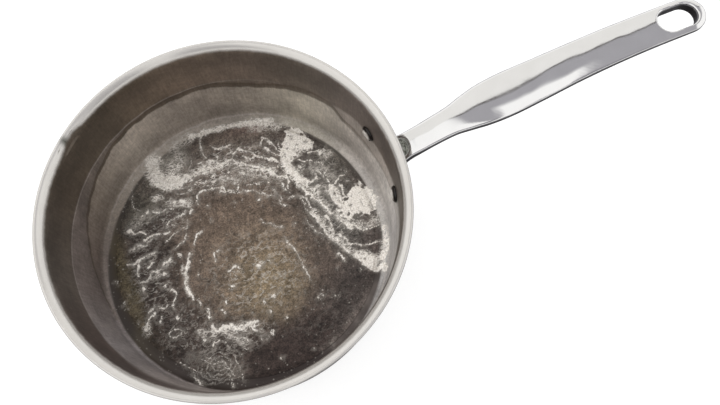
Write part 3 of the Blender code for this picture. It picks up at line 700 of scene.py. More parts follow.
def makePolishedSteel():
    # Cast stainless buffed to a mirror on top; painted shade makes the underside dark, and it is rougher;
    # painted shade and reflection, speckled, sit in the scoop
    material, tree, shader = startMaterial("buffedSteelWithPaintedShade")
    place = addNode(tree, "TexCoord").outputs["Object"]
    underside = addNode(tree, "Attribute", {"attribute_name": "underside"}).outputs["Fac"]
    darkShare = addNode(tree, "Attribute", {"attribute_name": "soot"}).outputs["Fac"]
    # Buffing lines run along the handle
    along = addNode(tree, "Mapping", None, {"Vector": place, "Scale": (0.04, 1.0, 1.0)}).outputs[0]
    hairline = addNode(tree, "TexNoise", None, {
        "Vector": along, "Scale": perMetre(handle["buffing"]), "Detail": 3.0, "Roughness": 0.6}).outputs[0]
    cloud = addNode(tree, "TexNoise", None, {
        "Vector": place, "Scale": perMetre(handle["cloud"]), "Detail": 4.0, "Roughness": 0.55}).outputs[0]
    # The buffed skin keeps a slight swell from casting
    swell = addNode(tree, "TexNoise", None, {
        "Vector": place, "Scale": perMetre(handle["swell"]), "Detail": 1.0, "Roughness": 0.4}).outputs[0]
    grit = addNode(tree, "TexNoise", None, {
        "Vector": place, "Scale": perMetre(handle["grit"]), "Detail": 4.0, "Roughness": 0.65}).outputs[0]
    steel = addNode(tree, "Mix", blend, {
        0: cloud, 6: linear(handle["buffedSteel"][0]), 7: linear(handle["buffedSteel"][1])}).outputs[2]
    # painted shade: the underside turns dark
    darkUnder = addNode(tree, "Mix", blend, {
        0: cloud, 6: linear(handle["undersideShade"][0]), 7: linear(handle["undersideShade"][1])}).outputs[2]
    steel = addNode(tree, "Mix", blend, {0: underside, 6: steel, 7: darkUnder}).outputs[2]
    # painted shade and reflection inside the scoop, speckled by grit
    speckle = addNode(tree, "MapRange", None, {"Value": grit, "From Min": 0.4, "From Max": 0.62}).outputs[0]
    scoopShade = addNode(tree, "Mix", blend, {
        0: speckle, 6: linear(handle["scoopShade"][0]), 7: linear(handle["scoopShade"][1])}).outputs[2]
    colour = addNode(tree, "Mix", blend, {0: darkShare, 6: steel, 7: scoopShade}).outputs[2]
    tree.links.new(colour, shader.inputs["Base Color"])
    rough = addNode(tree, "MapRange", None, {
        "Value": cloud, "From Min": 0.3, "From Max": 0.7, "To Min": handle["roughness"][0],
        "To Max": handle["roughness"][1]}).outputs[0]
    rough = addNode(tree, "Math", multiplyAdd, {
        0: underside, 1: handle["undersideRoughness"], 2: rough}).outputs[0]
    rough = addNode(tree, "Math", multiplyAdd, {
        0: darkShare, 1: handle["scoopRoughness"], 2: rough}).outputs[0]
    tree.links.new(rough, shader.inputs["Roughness"])
    metal = addNode(tree, "MapRange", None, {"Value": darkShare, "To Min": 1.0, "To Max": 0.3}).outputs[0]
    tree.links.new(metal, shader.inputs["Metallic"])
    lines = addNode(tree, "Bump", None, {
        "Strength": 0.06, "Distance": 0.00005, "Height": hairline}).outputs[0]
    bump = addNode(tree, "Bump", None, {
        "Strength": 1.0, "Distance": 0.0004, "Height": swell, "Normal": lines}).outputs[0]
    tree.links.new(bump, shader.inputs["Normal"])
    return material


# Rivets: a low domed head inside, the shank, and the same head on the flange

def makeRivet(side, material):
    name = "rivetLeft" if side > 0 else "rivetRight"
    head, tall, shank = rivet["headRadius"], rivet["headHeight"], rivet["shankRadius"]
    wall = rivet["wallRadius"]
    innerSeat = math.sqrt(wall ** 2 - head ** 2) - handle["fit"] - wall
    outerSeat = handle["flangeOuter"] + handle["fit"] - wall
    bm = bmesh.new()
    tip = bm.verts.new((0, 0, innerSeat - tall))
    bend = drawArc(bm, tip, (0, innerSeat - tall + head), math.pi / 2, rivet["domeSteps"])
    for vert in bm.verts:   # squash the quarter circle into a low dome
        vert.co.z = innerSeat - (innerSeat - tall + head - vert.co.z) * tall / head
    edge = drawLine(bm, bend, (shank, 0, innerSeat), 2)
    edge = drawLine(bm, edge, (shank, 0, outerSeat), 4)
    edge = drawLine(bm, edge, (head, 0, outerSeat), 2)
    before = set(bm.verts)
    drawArc(bm, edge, (0, outerSeat), math.pi / 2, rivet["domeSteps"])
    for vert in bm.verts:
        if vert not in before:
            vert.co.z = outerSeat + (vert.co.z - outerSeat) * tall / head
    spinRound(bm, rivet["segments"])
    turn = side * rivet["azimuth"]
    bm.transform(Matrix.Rotation(turn, 4, "Z") @ Matrix.Translation((wall, 0, rivet["height"]))
                 @ Matrix.Rotation(math.pi / 2 + pan["lean"], 4, "Y"))
    node = "rivet_left" if side > 0 else "rivet_right"
    piece = finishPiece(name, bm, material, node)
    sideways = Vector((math.cos(turn), math.sin(turn), 0))
    seat = sideways * wall + Vector((0, 0, rivet["height"]))
    axis = sideways * math.cos(pan["lean"]) - Vector((0, 0, math.sin(pan["lean"])))
    away = [(vert.co - seat - axis * (vert.co - seat).dot(axis)).length for vert in piece.data.vertices]
    setNumbers(piece.data, "fromAxis", np.array(away) / head)
    return piece


def makeRivetSteel():
    # Cold-formed stainless rivet: a painted dark reflection round the foot of its head, a painted highlight
    # on the crown
    material, tree, shader = startMaterial("rivetWithPaintedReflections")
    place = addNode(tree, "TexCoord").outputs["Object"]
    cloud = addNode(tree, "TexNoise", None, {
        "Vector": place, "Scale": perMetre(rivet["cloud"]), "Detail": 5.0, "Roughness": 0.6}).outputs[0]
    # painted highlight on the crown
    stops = [(at, linear(tone)) for at, tone in zip((0.3, 0.5, 0.7), rivet["crown"])]
    colour = addNode(tree, "ValToRGB", {"stops": stops}, {0: cloud}).outputs[0]
    away = addNode(tree, "Attribute", {"attribute_name": "fromAxis"}).outputs["Fac"]
    away = addNode(tree, "Math", multiplyAdd, {0: cloud, 1: 0.3, 2: away}).outputs[0]
    # painted dark reflection towards the head's edge
    darkShare = addNode(tree, "MapRange", smooth, {
        "Value": away, "From Min": rivet["darkFrom"], "From Max": rivet["darkFull"]}).outputs[0]
    colour = addNode(tree, "Mix", blend, {0: darkShare, 6: colour, 7: linear(rivet["soot"])}).outputs[2]
    tree.links.new(colour, shader.inputs["Base Color"])
    rough = addNode(tree, "MapRange", None, {
        "Value": cloud, "To Min": rivet["roughness"][0], "To Max": rivet["roughness"][1]}).outputs[0]
    tree.links.new(rough, shader.inputs["Roughness"])
    shader.inputs["Metallic"].default_value = rivet["metallic"]
    return material


# Burnt crust: a film baked on the floor, with lime scale heaped along its cracks

crust = {
    "radius": pan["floorRadius"] - 0.0016,
    "film": 0.0005,
    "filmEdge": 0.00015,
    "cells": 292,
    "relief": 0.00045,        # height of scale for each millimetre of half width, up to the cap
    "reliefCap": 0.0013,
    "grain": 0.00012,
    # size of the waves in mm, and how far they move or swell a stroke
    "wander": ((5.0, 1.44), (1.8, 0.9)),
    "swell": ((2.6, 0.5), (9.0, 0.7)),
    "spikes": (3.6, 3.2),     # the same for the edges of lobes
    "lobeHeight": 0.0007,
    "thin": 0.72,             # solid share of a stroke's half width
    "lift": 1.0,              # gain of the burnt film's tones
    "roughness": 0.7,
    "specular": 0.35,
    "gritDepth": 0.00022,
    "thinScale": "#a9a39a",
    "chalk": ("#b0a79d", "#d8d1c8", "#f2eee8"),
    "smudge": "#7a706a",
    # pattern sizes in mm; lace and drift break up every edge, grit roughens the chalk
    "lace": 1.0,
    "drift": 4.0,
    "grit": 0.9,
    "fleck": 1.8,
    "cell": 4.0,
    "fineCell": 1.9,
    "bubble": 4.0,
    "speck": 2.3,
    # patterns of the film: size in mm, gain in its dark and its pale parts
    "filmPatterns": [(9.0, 0.7, 1.3), (2.6, 0.5, 1.5), (0.9, 0.45, 1.6)],
}

# Half width in mm and the points of each vein of scale, read from the photograph
scaleVeins = [
    (1.5, [(-5, 80), (3, 84), (11, 82.5), (20, 80.5), (30, 78.5), (35, 76.5), (40, 75)]),
    (0.9, [(0.6, 70.7), (3.7, 68.5), (7.8, 67.3), (11.8, 68.2)]),
    (1.2, [(11, 61.6), (15, 63.5), (18, 62.6), (20, 58.8), (26, 54.4), (28.7, 52)]),
    (1.0, [(30.6, 60.7), (32.4, 64.4), (35, 62.6), (36.8, 58.8), (38.7, 54.4), (40, 50.7)]),
    (0.8, [(32.4, 57.6), (34, 53.2), (38.7, 49.4)]),
    (0.8, [(43, 58.8), (41.5, 55), (40.9, 52.6)]),
    (2.0, [(41.2, 50), (40.9, 45), (41.8, 40), (43, 35), (45.6, 30.7), (46.8, 27)]),
    (1.2, [(46.8, 27), (45, 23.8), (46.8, 18.8), (51.2, 10.7), (55, 2), (59.3, -6.8), (65, -15.6)]),
    (1.1, [(46.8, 27), (51.2, 24.4), (55, 23.8), (56.5, 27)]),
    (0.8, [(50, 41.3), (53, 38.8), (57.4, 36.3), (60.6, 35.7), (62.4, 33.8), (62.4, 31.3)]),
    (0.7, [(55, 37.6), (57.4, 33.2)]),
    (0.9, [(53, 46.3), (55.6, 43.2), (60, 42), (66.8, 41.3), (69.3, 40), (70.6, 38.2), (65.6, 35)]),
    (0.7, [(58, 30), (60, 25), (62.4, 21.3), (63, 18.8)]),
    (0.7, [(65.6, 24.4), (67.4, 22)]),
    (0.8, [(66.2, 17), (70, 20), (73, 20.7), (75.6, 22.6)]),
    (2.0, [(63.7, 16.3), (62.4, 12.6), (61.8, 8.8), (62.4, 5), (65, 0.7)]),
    (1.2, [(68, 14.4), (70, 13.2), (68.7, 9.4), (70, 5)]),
    (1.0, [(-5, 63.2), (-2, 60.7), (-3.2, 56.3), (0.6, 58.8), (3.7, 57), (9.3, 58.8), (11.2, 60.7)]),
    (1.1, [(10.6, 57.6), (12.4, 54.4), (15.6, 52.6), (20, 49.4)]),
    (0.9, [(-5, 48.8), (-1.3, 48.8), (1.8, 46.3), (3.7, 45)]),
    (0.8, [(-5, 42), (-2, 43.2)]),
    (0.7, [(-5, 40), (0.6, 37.9), (6.2, 36.3), (6.8, 38.8)]),
    (0.7, [(5.6, 42), (10, 41.3), (6.2, 37)]),
    (1.1, [(20, 48.8), (25, 43.8), (30, 42), (33.7, 41.3)]),
    (1.2, [(30, 51.3), (32.4, 48.8), (35.6, 47), (37.4, 43.8), (35.6, 42)]),
    (1.1, [(30, 41.3), (30.6, 37), (33.7, 34.4), (38, 33.8), (38.7, 30), (37.4, 25.7)]),
    (0.7, [(-5, 38.8), (9.3, 33.8), (15.6, 32), (20, 28.5), (26.2, 23.8), (28.7, 18.8), (31.8, 14.4)]),
    (0.6, [(13, 37.6), (20, 35.7), (26.2, 34.4)]),
    (0.6, [(26.8, 28.2), (28.7, 27.6), (29, 22.6), (30.6, 19.4)]),
    (0.8, [(33.7, 28.8), (35.6, 24.4), (40, 17.6), (45, 15.4), (45.9, 11.3), (46.2, 7)]),
    (0.8, [(35, 18.8), (41.2, 18.2), (45.6, 15), (46.2, 11.3)]),
    (0.8, [(41.2, 16.3), (42.8, 12), (43, 7), (44.6, 3.2), (45, 0)]),
    (0.5, [(12.8, 12), (16.2, 8.2), (21.2, 3.8), (24.3, 2)]),
    (1.0, [(60.6, -1.2), (61.2, -6.2), (64.3, -11.8), (67.4, -16.2), (71.2, -19), (76.2, -20.6),
           (84.3, -19.3)]),
    (0.5, [(70, -12.4), (75, -13.7)]),
    (0.5, [(81.2, -16.2), (85.6, -14.3)]),
    (0.5, [(73.7, -16.8), (78, -17.8)]),
    (1.3, [(52.4, -1.2), (53.7, -6.2), (53, -10.5), (55, -15.6), (60, -23.7), (66.8, -28.7), (71.8, -30),
           (78, -29), (81.2, -26.2), (83.7, -22.4)]),
    (1.1, [(44.3, 5), (45, 0), (46.8, -4.3), (49.3, -13.7), (53.7, -22.4), (58.7, -31.2), (63.7, -40.6),
           (70.6, -47)]),
    (1.3, [(50, -28.7), (51.2, -27.4), (53, -33)]),
    (0.7, [(23, -5.6), (24.6, -10.6), (26.2, -16.8), (28, -21.8), (28.4, -30), (30, -37.4)]),
    (0.6, [(9.3, -13.7), (10.2, -17.4)]),
    (0.45, [(26, -79), (29, -75.5)]),
    (0.45, [(40, 0), (42.5, -7), (47, -14)]),
    (0.45, [(50, 0), (52, -6), (53.5, -11)]),
    (0.9, [(43, 67), (46.5, 69.5), (50, 70)]),
    (0.5, [(-34, 80), (-37, 72), (-35.5, 64), (-31, 59)]),
    (0.4, [(-49, -58), (-42, -63), (-35, -69)]),
    (0.4, [(-46, -57), (-38, -62), (-34, -68), (-33, -75)]),
    (0.4, [(-30, -66), (-29, -73), (-29, -79)]),
    (0.35, [(-62, -54), (-52, -64), (-42, -71), (-35, -74.5), (-28, -77)]),
    (0.35, [(-56, -62), (-55.5, -68), (-52, -73)]),
    (0.35, [(-36, -75), (-35, -80)]),
    (2.0, [(-35, 77.5), (-40, 74.4)]),
    (3.2, [(-40, 74.4), (-40.7, 69.4), (-40, 63.2), (-36.3, 58.8), (-32, 55.7), (-27, 55), (-21.3, 57)]),
    (1.0, [(-20.7, 53.8), (-15, 55), (-11.3, 56.3), (-6.3, 55), (-4.4, 52.6)]),
    (0.8, [(-12.6, 64.4), (-9.4, 63.2)]),
    (1.1, [(-10, 84.4), (-5.7, 83.2), (-2.6, 82)]),
    (0.8, [(-6.3, 79.4), (-7.3, 74.4), (-7, 70.7), (-5.4, 66.3)]),
    (0.6, [(-15, 68.2), (-17, 63.8), (-18.5, 60.7)]),
    (0.7, [(-33.8, 53.2), (-24.4, 50.7), (-11.3, 50), (-5, 48.2), (-0.7, 48.8)]),
    (0.7, [(-32, 50), (-28.2, 48.2), (-24.4, 47), (-20, 49.4)]),
    (1.0, [(-20, 40.7), (-19.4, 42.6), (-16.3, 43.5), (-10.7, 43.8), (-6.3, 43.2), (-2.6, 41)]),
    (0.5, [(-20, 40.7), (-20.7, 37)]),
    (0.5, [(-52.6, 69.4), (-58.2, 62), (-59.8, 57), (-59.4, 52.6), (-58.2, 48.8), (-55.7, 47)]),
    (1.1, [(-48.8, 42.6), (-45, 39.8), (-40, 40), (-36.3, 40)]),
    (1.3, [(-66.3, 35.7), (-63.2, 32.6), (-59.4, 32), (-56.3, 29.4)]),
    (0.6, [(-58.8, 36.3), (-57.5, 38.2)]),
    (0.8, [(-43.2, 30.7), (-40, 32.6), (-35.7, 33.8), (-32.6, 32.9), (-28.8, 35)]),
    (1.1, [(-60, 27), (-55, 27), (-51.3, 27), (-47.6, 25.7), (-43.2, 25.7)]),
    (1.0, [(-67, 23.8), (-65, 25.7), (-62, 23.8), (-58.8, 22.9)]),
    (0.7, [(-46.3, 20), (-41.3, 22.6), (-37.6, 24.4), (-35, 25), (-32, 23.8), (-30, 28.8)]),
    (1.2, [(-73.2, 15), (-69.4, 13.8), (-65, 15), (-62, 15.7), (-55.7, 15.7)]),
    (1.2, [(-65, 15), (-68.2, 10.7), (-70, 5.7)]),
    (0.7, [(-42.6, 13.8), (-40, 15.4), (-36.3, 16.3), (-34.4, 18.8), (-32.6, 20)]),
    (0.9, [(-30.7, 12), (-30, 14.4), (-27.6, 17.6), (-23.8, 18.2)]),
    (1.2, [(-62.6, 8.2), (-58.8, 10.7)]),
    (1.1, [(-68.8, 0.7), (-65, 1), (-61.3, 2.6), (-56.3, 4.4), (-52.6, 6.3), (-47.6, 8.8)]),
    (1.5, [(-34.4, 7.6), (-36.3, 5), (-40, -1.2), (-41.3, -5), (-42.6, -9.3), (-42.6, -15.6),
           (-43.2, -21.2)]),
    (1.4, [(-40, -23), (-39.4, -25.6)]),
    (0.9, [(-20, 2.6), (-22, -2.4)]),
    (1.0, [(-68.8, -2.4), (-69.4, -6.2)]),
    (1.1, [(-52.6, -11.2), (-50, -13.7), (-52.6, -17.4), (-55, -20), (-54.8, -22.4)]),
    (0.8, [(-63.8, -16.8), (-61.3, -19), (-57.6, -18)]),
    (0.8, [(-69.4, -18.7), (-66.3, -16.5)]),
    (0.8, [(-74.4, -26.2), (-71.3, -23), (-67, -20)]),
    (0.8, [(-64.4, -26.2), (-62.6, -23.7)]),
    (1.0, [(-35, -29.3), (-35.7, -36.8)]),
    (1.8, [(-37, -40.6), (-35, -44.3), (-30, -44.3), (-25, -46.2), (-21.3, -48), (-10.7, -48.7)]),
    (1.4, [(-14.4, -50.6), (-12, -54.3)]),
    (0.8, [(-30, -48.7), (-26.3, -51.2), (-23.8, -54.3), (-20, -56.2), (-17.6, -60)]),
    (0.7, [(-23.2, -60.6), (-20, -62.4)]),
    (0.8, [(-36.3, -51.2), (-40, -52.4)]),
    (0.5, [(-55.7, -61.2), (-56, -64.3), (-54.4, -68.7), (-52, -72.4)]),
    (0.5, [(-35.7, -71.2), (-34.4, -75)]),
    (1.3, [(-16.6, -12.4), (-13.2, -11.2), (-10.4, -11.5)]),
    (0.6, [(-28.8, -33.7), (-27, -36.8)]),
]

# Solid islands of scale: outline points in mm
scaleLobes = [
    [(40, 50), (50, 64), (53, 66), (55, 64.4), (58, 62), (61, 58.8), (60.6, 53.8), (63.7, 50), (63, 46.3),
     (60, 45), (53, 47), (48, 44), (42, 46)],
    [(72.4, 8.8), (75, 11.3), (78.7, 10), (81.8, 12.6), (81.2, 9.4), (85, 5.7), (87, -3), (85, -10),
     (78.7, -11), (75.6, -10), (70, -8), (65.6, -10), (61, -3)],
    [(60, -30), (64.3, -32.4), (68.7, -35), (72.4, -38), (78, -38), (80.6, -35), (81.2, -31), (85, -25),
     (81.2, -38.7), (75.6, -45), (70.6, -47.4), (65, -44), (60.6, -35.6)],
]

# Blobs of scale: x, y, radius in mm, how white
scaleBlobs = [
    (48.7, 46.3, 2.0, 1), (55.6, 18.8, 2.3, 1), (63.4, 25.7, 2.0, 1), (49, 35.7, 1.5, 0.9),
    (64.3, 40, 1.8, 1), (69.3, 43.2, 1.0, 0.9), (74.3, 22.6, 1.2, 0.9), (74, 15.7, 1.2, 0.9),
    (1.8, 57.6, 2.0, 1), (5.6, 56, 1.3, 0.9), (2.4, 45.7, 2.2, 0.9), (13.7, 46.3, 2.3, 0.9),
    (16.8, 44.4, 1.3, 0.8), (22.4, 47, 1.5, 0.9), (26.8, 33.5, 1.2, 0.9), (43.4, 5.7, 1.0, 0.9),
    (17, 25.4, 1.6, 0.9), (16.8, 19.4, 0.7, 0.8), (1.2, 28.8, 1.4, 0.5), (24, 2, 1.3, 0.9),
    (32.4, 1.6, 1.2, 0.9), (23, -42.7, 0.9, 0.9), (33.4, -45, 0.7, 0.8), (39.6, -51.2, 1.1, 0.9),
    (41.5, -51.2, 0.8, 0.8), (60, -42.4, 1.1, 0.9), (46.8, -36.5, 0.7, 0.8), (18.4, -17, 0.7, 0.8),
    (42, -15.3, 0.7, 0.8), (2.4, -16.8, 2.7, 0.9), (4.3, -37.4, 2.0, 0.9), (-2, -38.7, 1.3, 0.8),
    (9, -35, 0.9, 0.8), (8.7, -26.2, 1.2, 0.7), (6.8, -53, 1.3, 0.9), (-3.8, -58, 1.5, 0.9),
    (16.2, -75.6, 1.0, 0.7), (-3.8, -75, 1.6, 0.8), (-1.3, -46, 1.8, 0.9), (-6.3, 62.6, 1.5, 0.8),
    (-52, 44.4, 2.6, 0.9), (-55.7, 42.6, 1.5, 0.8), (-43.5, 50.7, 2.2, 0.9), (-33.8, 43.8, 2.0, 0.9),
    (-29.4, 42.6, 2.3, 0.9), (-27, 40, 1.3, 0.8), (-25.7, 33.8, 2.4, 0.8), (-15.7, 33.5, 1.5, 0.7),
    (-45, 28.2, 1.0, 0.7), (-38.8, 28.2, 1.0, 0.7), (-32.9, 23.8, 1.4, 0.9), (-54.5, 18.2, 1.6, 0.4),
    (-18.2, 2.6, 2.0, 0.9), (-53.8, 1.3, 1.8, 0.9), (-41.3, 8.8, 1.3, 0.9), (-83, 7, 1.5, 0.8),
    (-45.4, 13.2, 0.8, 0.8), (-16, 23.2, 1.6, 0.35), (-56.3, -6.8, 2.0, 0.9), (-75, -28.7, 2.2, 0.9),
    (-53.8, -28, 1.8, 0.9), (-82, -6.8, 1.8, 0.8), (-77.6, -4.3, 1.2, 0.5), (-80.7, -11.2, 1.0, 0.8),
    (-78.2, -22.4, 1.0, 0.8), (-31.3, -53, 1.0, 0.8), (-42.6, -46.8, 1.5, 1), (-44.4, -41.2, 2.4, 0.6),
    (-14, -16.5, 0.9, 0.8), (-17, -21.8, 1.8, 0.9), (-24.4, -30, 1.5, 0.9), (-27, -36.8, 1.5, 0.9),
    (-35, -8, 1.4, 0.8), (-10.7, -34.3, 1.0, 0.8), (-25.7, -63.7, 0.9, 0.8),
]

# Rings left by bubbles: x, y, radius, half width in mm
scaleRings = [
    (20.6, 42, 2.6, 0.7), (31.2, -49, 1.6, 0.5), (13.7, -26.8, 1.3, 0.45), (-58.2, -36.8, 3.0, 0.7),
    (-9.4, -59, 1.9, 0.6),
]

# Thin translucent scale: half width in mm, strength, points
hazes = [
    (6.5, 1.0, [(-39, 76), (-42, 70), (-40, 63), (-35, 58.5), (-29, 57)]),
    (4.5, 0.95, [(-41, 68), (-39, 62.5), (-35, 58), (-30, 57)]),
    (8.0, 0.45, [(-28, 68), (-24, 70)]), (5.0, 0.35, [(-24, 80), (-12, 84)]),
    (3.5, 0.5, [(-34, 56), (-22, 57), (-12, 58), (0, 56)]), (3.5, 0.45, [(-46, 50), (-42, 51)]),
    (4.5, 0.45, [(-38, 45), (-26, 40)]), (5.0, 0.25, [(-66, 36), (-58, 42), (-48, 42)]),
    (6.0, 0.34, [(-8, 60), (5, 58), (16, 50), (30, 42)]),
    (5.0, 0.28, [(0, 46), (12, 43), (22, 42), (36, 33)]),
    (3.0, 0.95, [(-10, 83), (4, 83), (18, 81), (32, 78), (42, 74)]),
    (4.5, 0.4, [(30, 74), (42, 70), (50, 68)]),
    (4.0, 0.9, [(46, 51), (52, 57), (55, 61)]), (3.0, 0.5, [(58, 56), (61, 50)]),
    (3.5, 0.5, [(46, 45), (52, 47), (58, 47)]), (4.2, 0.97, [(43, 47), (41, 41), (43, 33), (47, 26)]),
    (4.5, 0.4, [(48, 22), (52, 12), (57, 0), (62, -9), (68, -14), (76, -17), (84, -15)]),
    (5.0, 0.3, [(50, 34), (56, 32), (62, 28), (66, 22)]), (3.5, 0.4, [(65, 39), (70, 38)]),
    (4.0, 0.7, [(64, 13), (64, 4), (69, -4)]), (4.5, 0.9, [(76, 3), (80, 2), (80, -4)]),
    (3.6, 0.5, [(46, 4), (49, -8), (54, -20), (60, -31), (66, -39), (72, -44)]),
    (3.5, 0.55, [(64, -33), (71, -38), (78, -37), (82, -30), (84, -23)]),
    (3.5, 0.95, [(66, -41), (70, -44), (74, -46)]), (3.5, 0.5, [(-36, -44), (-24, -47), (-12, -50)]),
    (6.0, 0.12, [(-54, -54), (-46, -59), (-38, -65), (-29, -72)]), (4.0, 0.2, [(-72, -24), (-66, -18)]),
    (3.5, 0.45, [(-75, -30), (-74, -27)]), (2.5, 0.35, [(2, -17), (5, -15)]),
    (4.0, 0.3, [(-60, 2), (-48, 8)]), (3.0, 0.35, [(-44, -41), (-38, -47)]),
    (3.0, 0.35, [(-30, -50), (-20, -58)]), (3.0, 0.25, [(-12, -52), (-8, -59)]),
    (4.0, 0.3, [(50, 18), (57, 18), (62, 12)]),
    (3.0, 0.3, [(-68, 24), (-52, 26)]), (3.0, 0.3, [(-70, 14), (-56, 16)]),
    (2.5, 0.4, [(-42, 0), (-43, -18)]),
]

# Places where the dark film shows through the scale: x, y, radius in mm
bareSpots = [
    (68.7, 3, 1.2), (66.8, -5.2, 1.1), (73.7, -34, 3.2), (65.6, -22, 4.0), (77, -25, 3.6),
    (58, 57.5, 1.2), (64, 55, 2.6), (55, 43.5, 1.6), (52, 30, 3.2), (76, -12.5, 2.0), (-31, 79, 2.0),
    (-32, -60, 2.4), (54, 35, 1.5), (59, 1, 1.0), (72, -43, 1.0), (52, -6, 1.4), (57, -14, 1.8),
]

# Fine flecks of thin scale: x, y, reach in x and y, strength
webs = [
    (4, 54, 34, 16, 1.0), (-46, 34, 22, 14, 0.6), (-62, 0, 14, 34, 0.6), (-50, -38, 20, 18, 0.5),
    (62, 24, 13, 22, 0.55), (60, -8, 14, 20, 0.7), (28, 30, 14, 12, 0.55), (-22, -54, 24, 10, 0.6),
    (0, -20, 36, 30, 0.6), (38, 62, 8, 8, 0.3), (30, -60, 30, 20, 0.12), (-35, 68, 20, 14, 0.5),
]

# Small rings left by bubbles: x, y, reach in x and y, strength
bubbles = [(-34, -52, 22, 9, 0.45), (-54, -36, 12, 12, 0.15), (10, 50, 26, 10, 0.3)]

# Rings of scale dried one inside the other: x, y, reach in x and y, spacing in mm, strength
swirls = [
    (-27, 67, 13, 13, 2.4, 0.5), (-40, -65, 16, 11, 2.3, 0.6), (77, -8, 13, 17, 2.8, 0.3),
]

# Broad tones of the burnt film: x, y, reach in x and y, colour, weight
filmTones = [
    (-2, -4, 32, 34, "#64564a", 2.2), (4, -22, 17, 19, "#786a51", 2.2), (8, -68, 26, 12, "#352b28", 2.4),
    (48, -52, 16, 14, "#3c3532", 2.0), (38, -30, 10, 16, "#51463f", 1.6), (56, 0, 12, 26, "#504d49", 1.4),
    (-78, 2, 5, 32, "#5c5340", 1.8), (-42, -66, 12, 8, "#413831", 1.8), (30, 75, 11, 3.5, "#866f69", 1.8),
    (16, 72, 18, 6, "#655a51", 1.8), (0, 57, 36, 12, "#5c524b", 1.4), (-56, 50, 12, 12, "#555149", 1.4),
    (-48, 35, 16, 5, "#3b3330", 1.6), (-28, 69, 9, 9, "#76726a", 1.4), (-58, 8, 13, 16, "#352d29", 2.0),
    (-60, -32, 14, 20, "#352c28", 2.0), (-30, -54, 16, 9, "#2f2623", 2.2), (72, 34, 8, 16, "#524d47", 1.6),
    (-52, -72, 12, 8, "#261e1b", 2.6), (36, 20, 10, 12, "#4d443d", 1.2), (75, -28, 6, 8, "#4a423e", 1.6),
    (60, -68, 14, 6, "#453d39", 1.6), (-68, 58, 8, 8, "#352c2c", 1.8), (-74, -40, 8, 12, "#40382f", 1.6),
    (0, -86, 34, 5, "#2e2522", 2.4), (-84, -10, 4, 30, "#332b28", 1.6),
]
filmBase = "#463e3a"

# Pale smudges on the film: half width and points in mm, strength
smudges = [
    (3.0, 0.35, [(22, -79), (35, -74), (44, -69), (56, -61), (64, -55)]),
    (2.2, 0.4, [(46, -69), (48, -66)]),
    (2.2, 0.4, [(55, -62), (57, -60)]),
]


farAway = 9.0   # mm: no scale here


def lineDistance(x, y, line):
    best = np.full(x.shape, 1e9)
    for (ax, ay), (bx, by) in zip(line, line[1:]):
        dx, dy = bx - ax, by - ay
        share = np.clip(((x - ax) * dx + (y - ay) * dy) / (dx * dx + dy * dy), 0, 1)
        best = np.minimum(best, np.hypot(x - ax - share * dx, y - ay - share * dy))
    return best


def insideOutline(x, y, outline):
    inside = np.zeros(x.shape, dtype=bool)
    for (ax, ay), (bx, by) in zip(outline, outline[1:] + outline[:1]):
        if ay != by:
            crosses = (ay > y) != (by > y)
            inside ^= crosses & (x < (bx - ax) * (y - ay) / (by - ay) + ax)
    return inside


def drawScale(x, y):
    # gives the distance in mm past the nearest stroke's solid edge, haze from 0 to 1, heap in metres
    (longSize, longReach), (shortSize, shortReach) = crust["wander"]
    warpX = x + longReach * noiseField(x, y, longSize, 1.5) + shortReach * noiseField(x, y, shortSize, 7.5)
    warpY = y + longReach * noiseField(x, y, longSize, 21.5) + shortReach * noiseField(x, y, shortSize, 27.5)
    (fineSize, fineSwell), (broadSize, broadSwell) = crust["swell"]
    swell = 1 + fineSwell * noiseField(x, y, fineSize, 33.0) + broadSwell * noiseField(x, y, broadSize, 36.0)
    spikeSize, spikeReach = crust["spikes"]
    spikes = spikeReach * noiseField(x * 1.4 + y, y * 1.4 - x, spikeSize, 44.0)
    past = np.full(x.shape, farAway)
    heap = np.zeros(x.shape)

    def lay(distance, halfWidth, strength):
        nonlocal past, heap
        width = halfWidth * swell * crust["thin"]
        past = np.minimum(past, distance - width + 1.2 * (1 - strength))
        share = np.clip(distance / (width * 1.2 + 0.5), 0, 1)
        high = np.minimum(crust["relief"] * (halfWidth + 0.3), crust["reliefCap"])
        heap = np.maximum(heap, high * (1 - share * share) ** 1.5)

    for halfWidth, line in scaleVeins:
        lay(lineDistance(warpX, warpY, line), halfWidth, 1.0)
    for bx, by, radius, strength in scaleBlobs:
        lay(np.maximum(np.hypot(warpX - bx, warpY - by) - radius * 0.4, 0), radius * 0.5, strength)
    for rx, ry, radius, halfWidth in scaleRings:
        lay(np.abs(np.hypot(warpX - rx, warpY - ry) - radius), halfWidth, 0.85)
    for outline in scaleLobes:
        edge = lineDistance(warpX, warpY, outline + outline[:1])
        edge = np.where(insideOutline(warpX, warpY, outline), -edge, edge) + spikes
        past = np.minimum(past, edge)
        heap = np.maximum(heap, crust["lobeHeight"] * smoothStep(edge, 0.8, -1.5))
    haze = np.zeros(x.shape)
    for halfWidth, strength, line in hazes:
        amount = strength * smoothStep(lineDistance(warpX, warpY, line), 1.25 * halfWidth, 0.2 * halfWidth)
        haze = 1 - (1 - haze) * (1 - amount)
    for bx, by, radius in bareSpots:
        bare = np.exp(-(np.hypot(warpX - bx, warpY - by) / radius) ** 4)
        past = np.maximum(past, past * (1 - bare) + 4 * bare)
        haze = haze * (1 - 0.85 * bare)
    return past, haze, heap


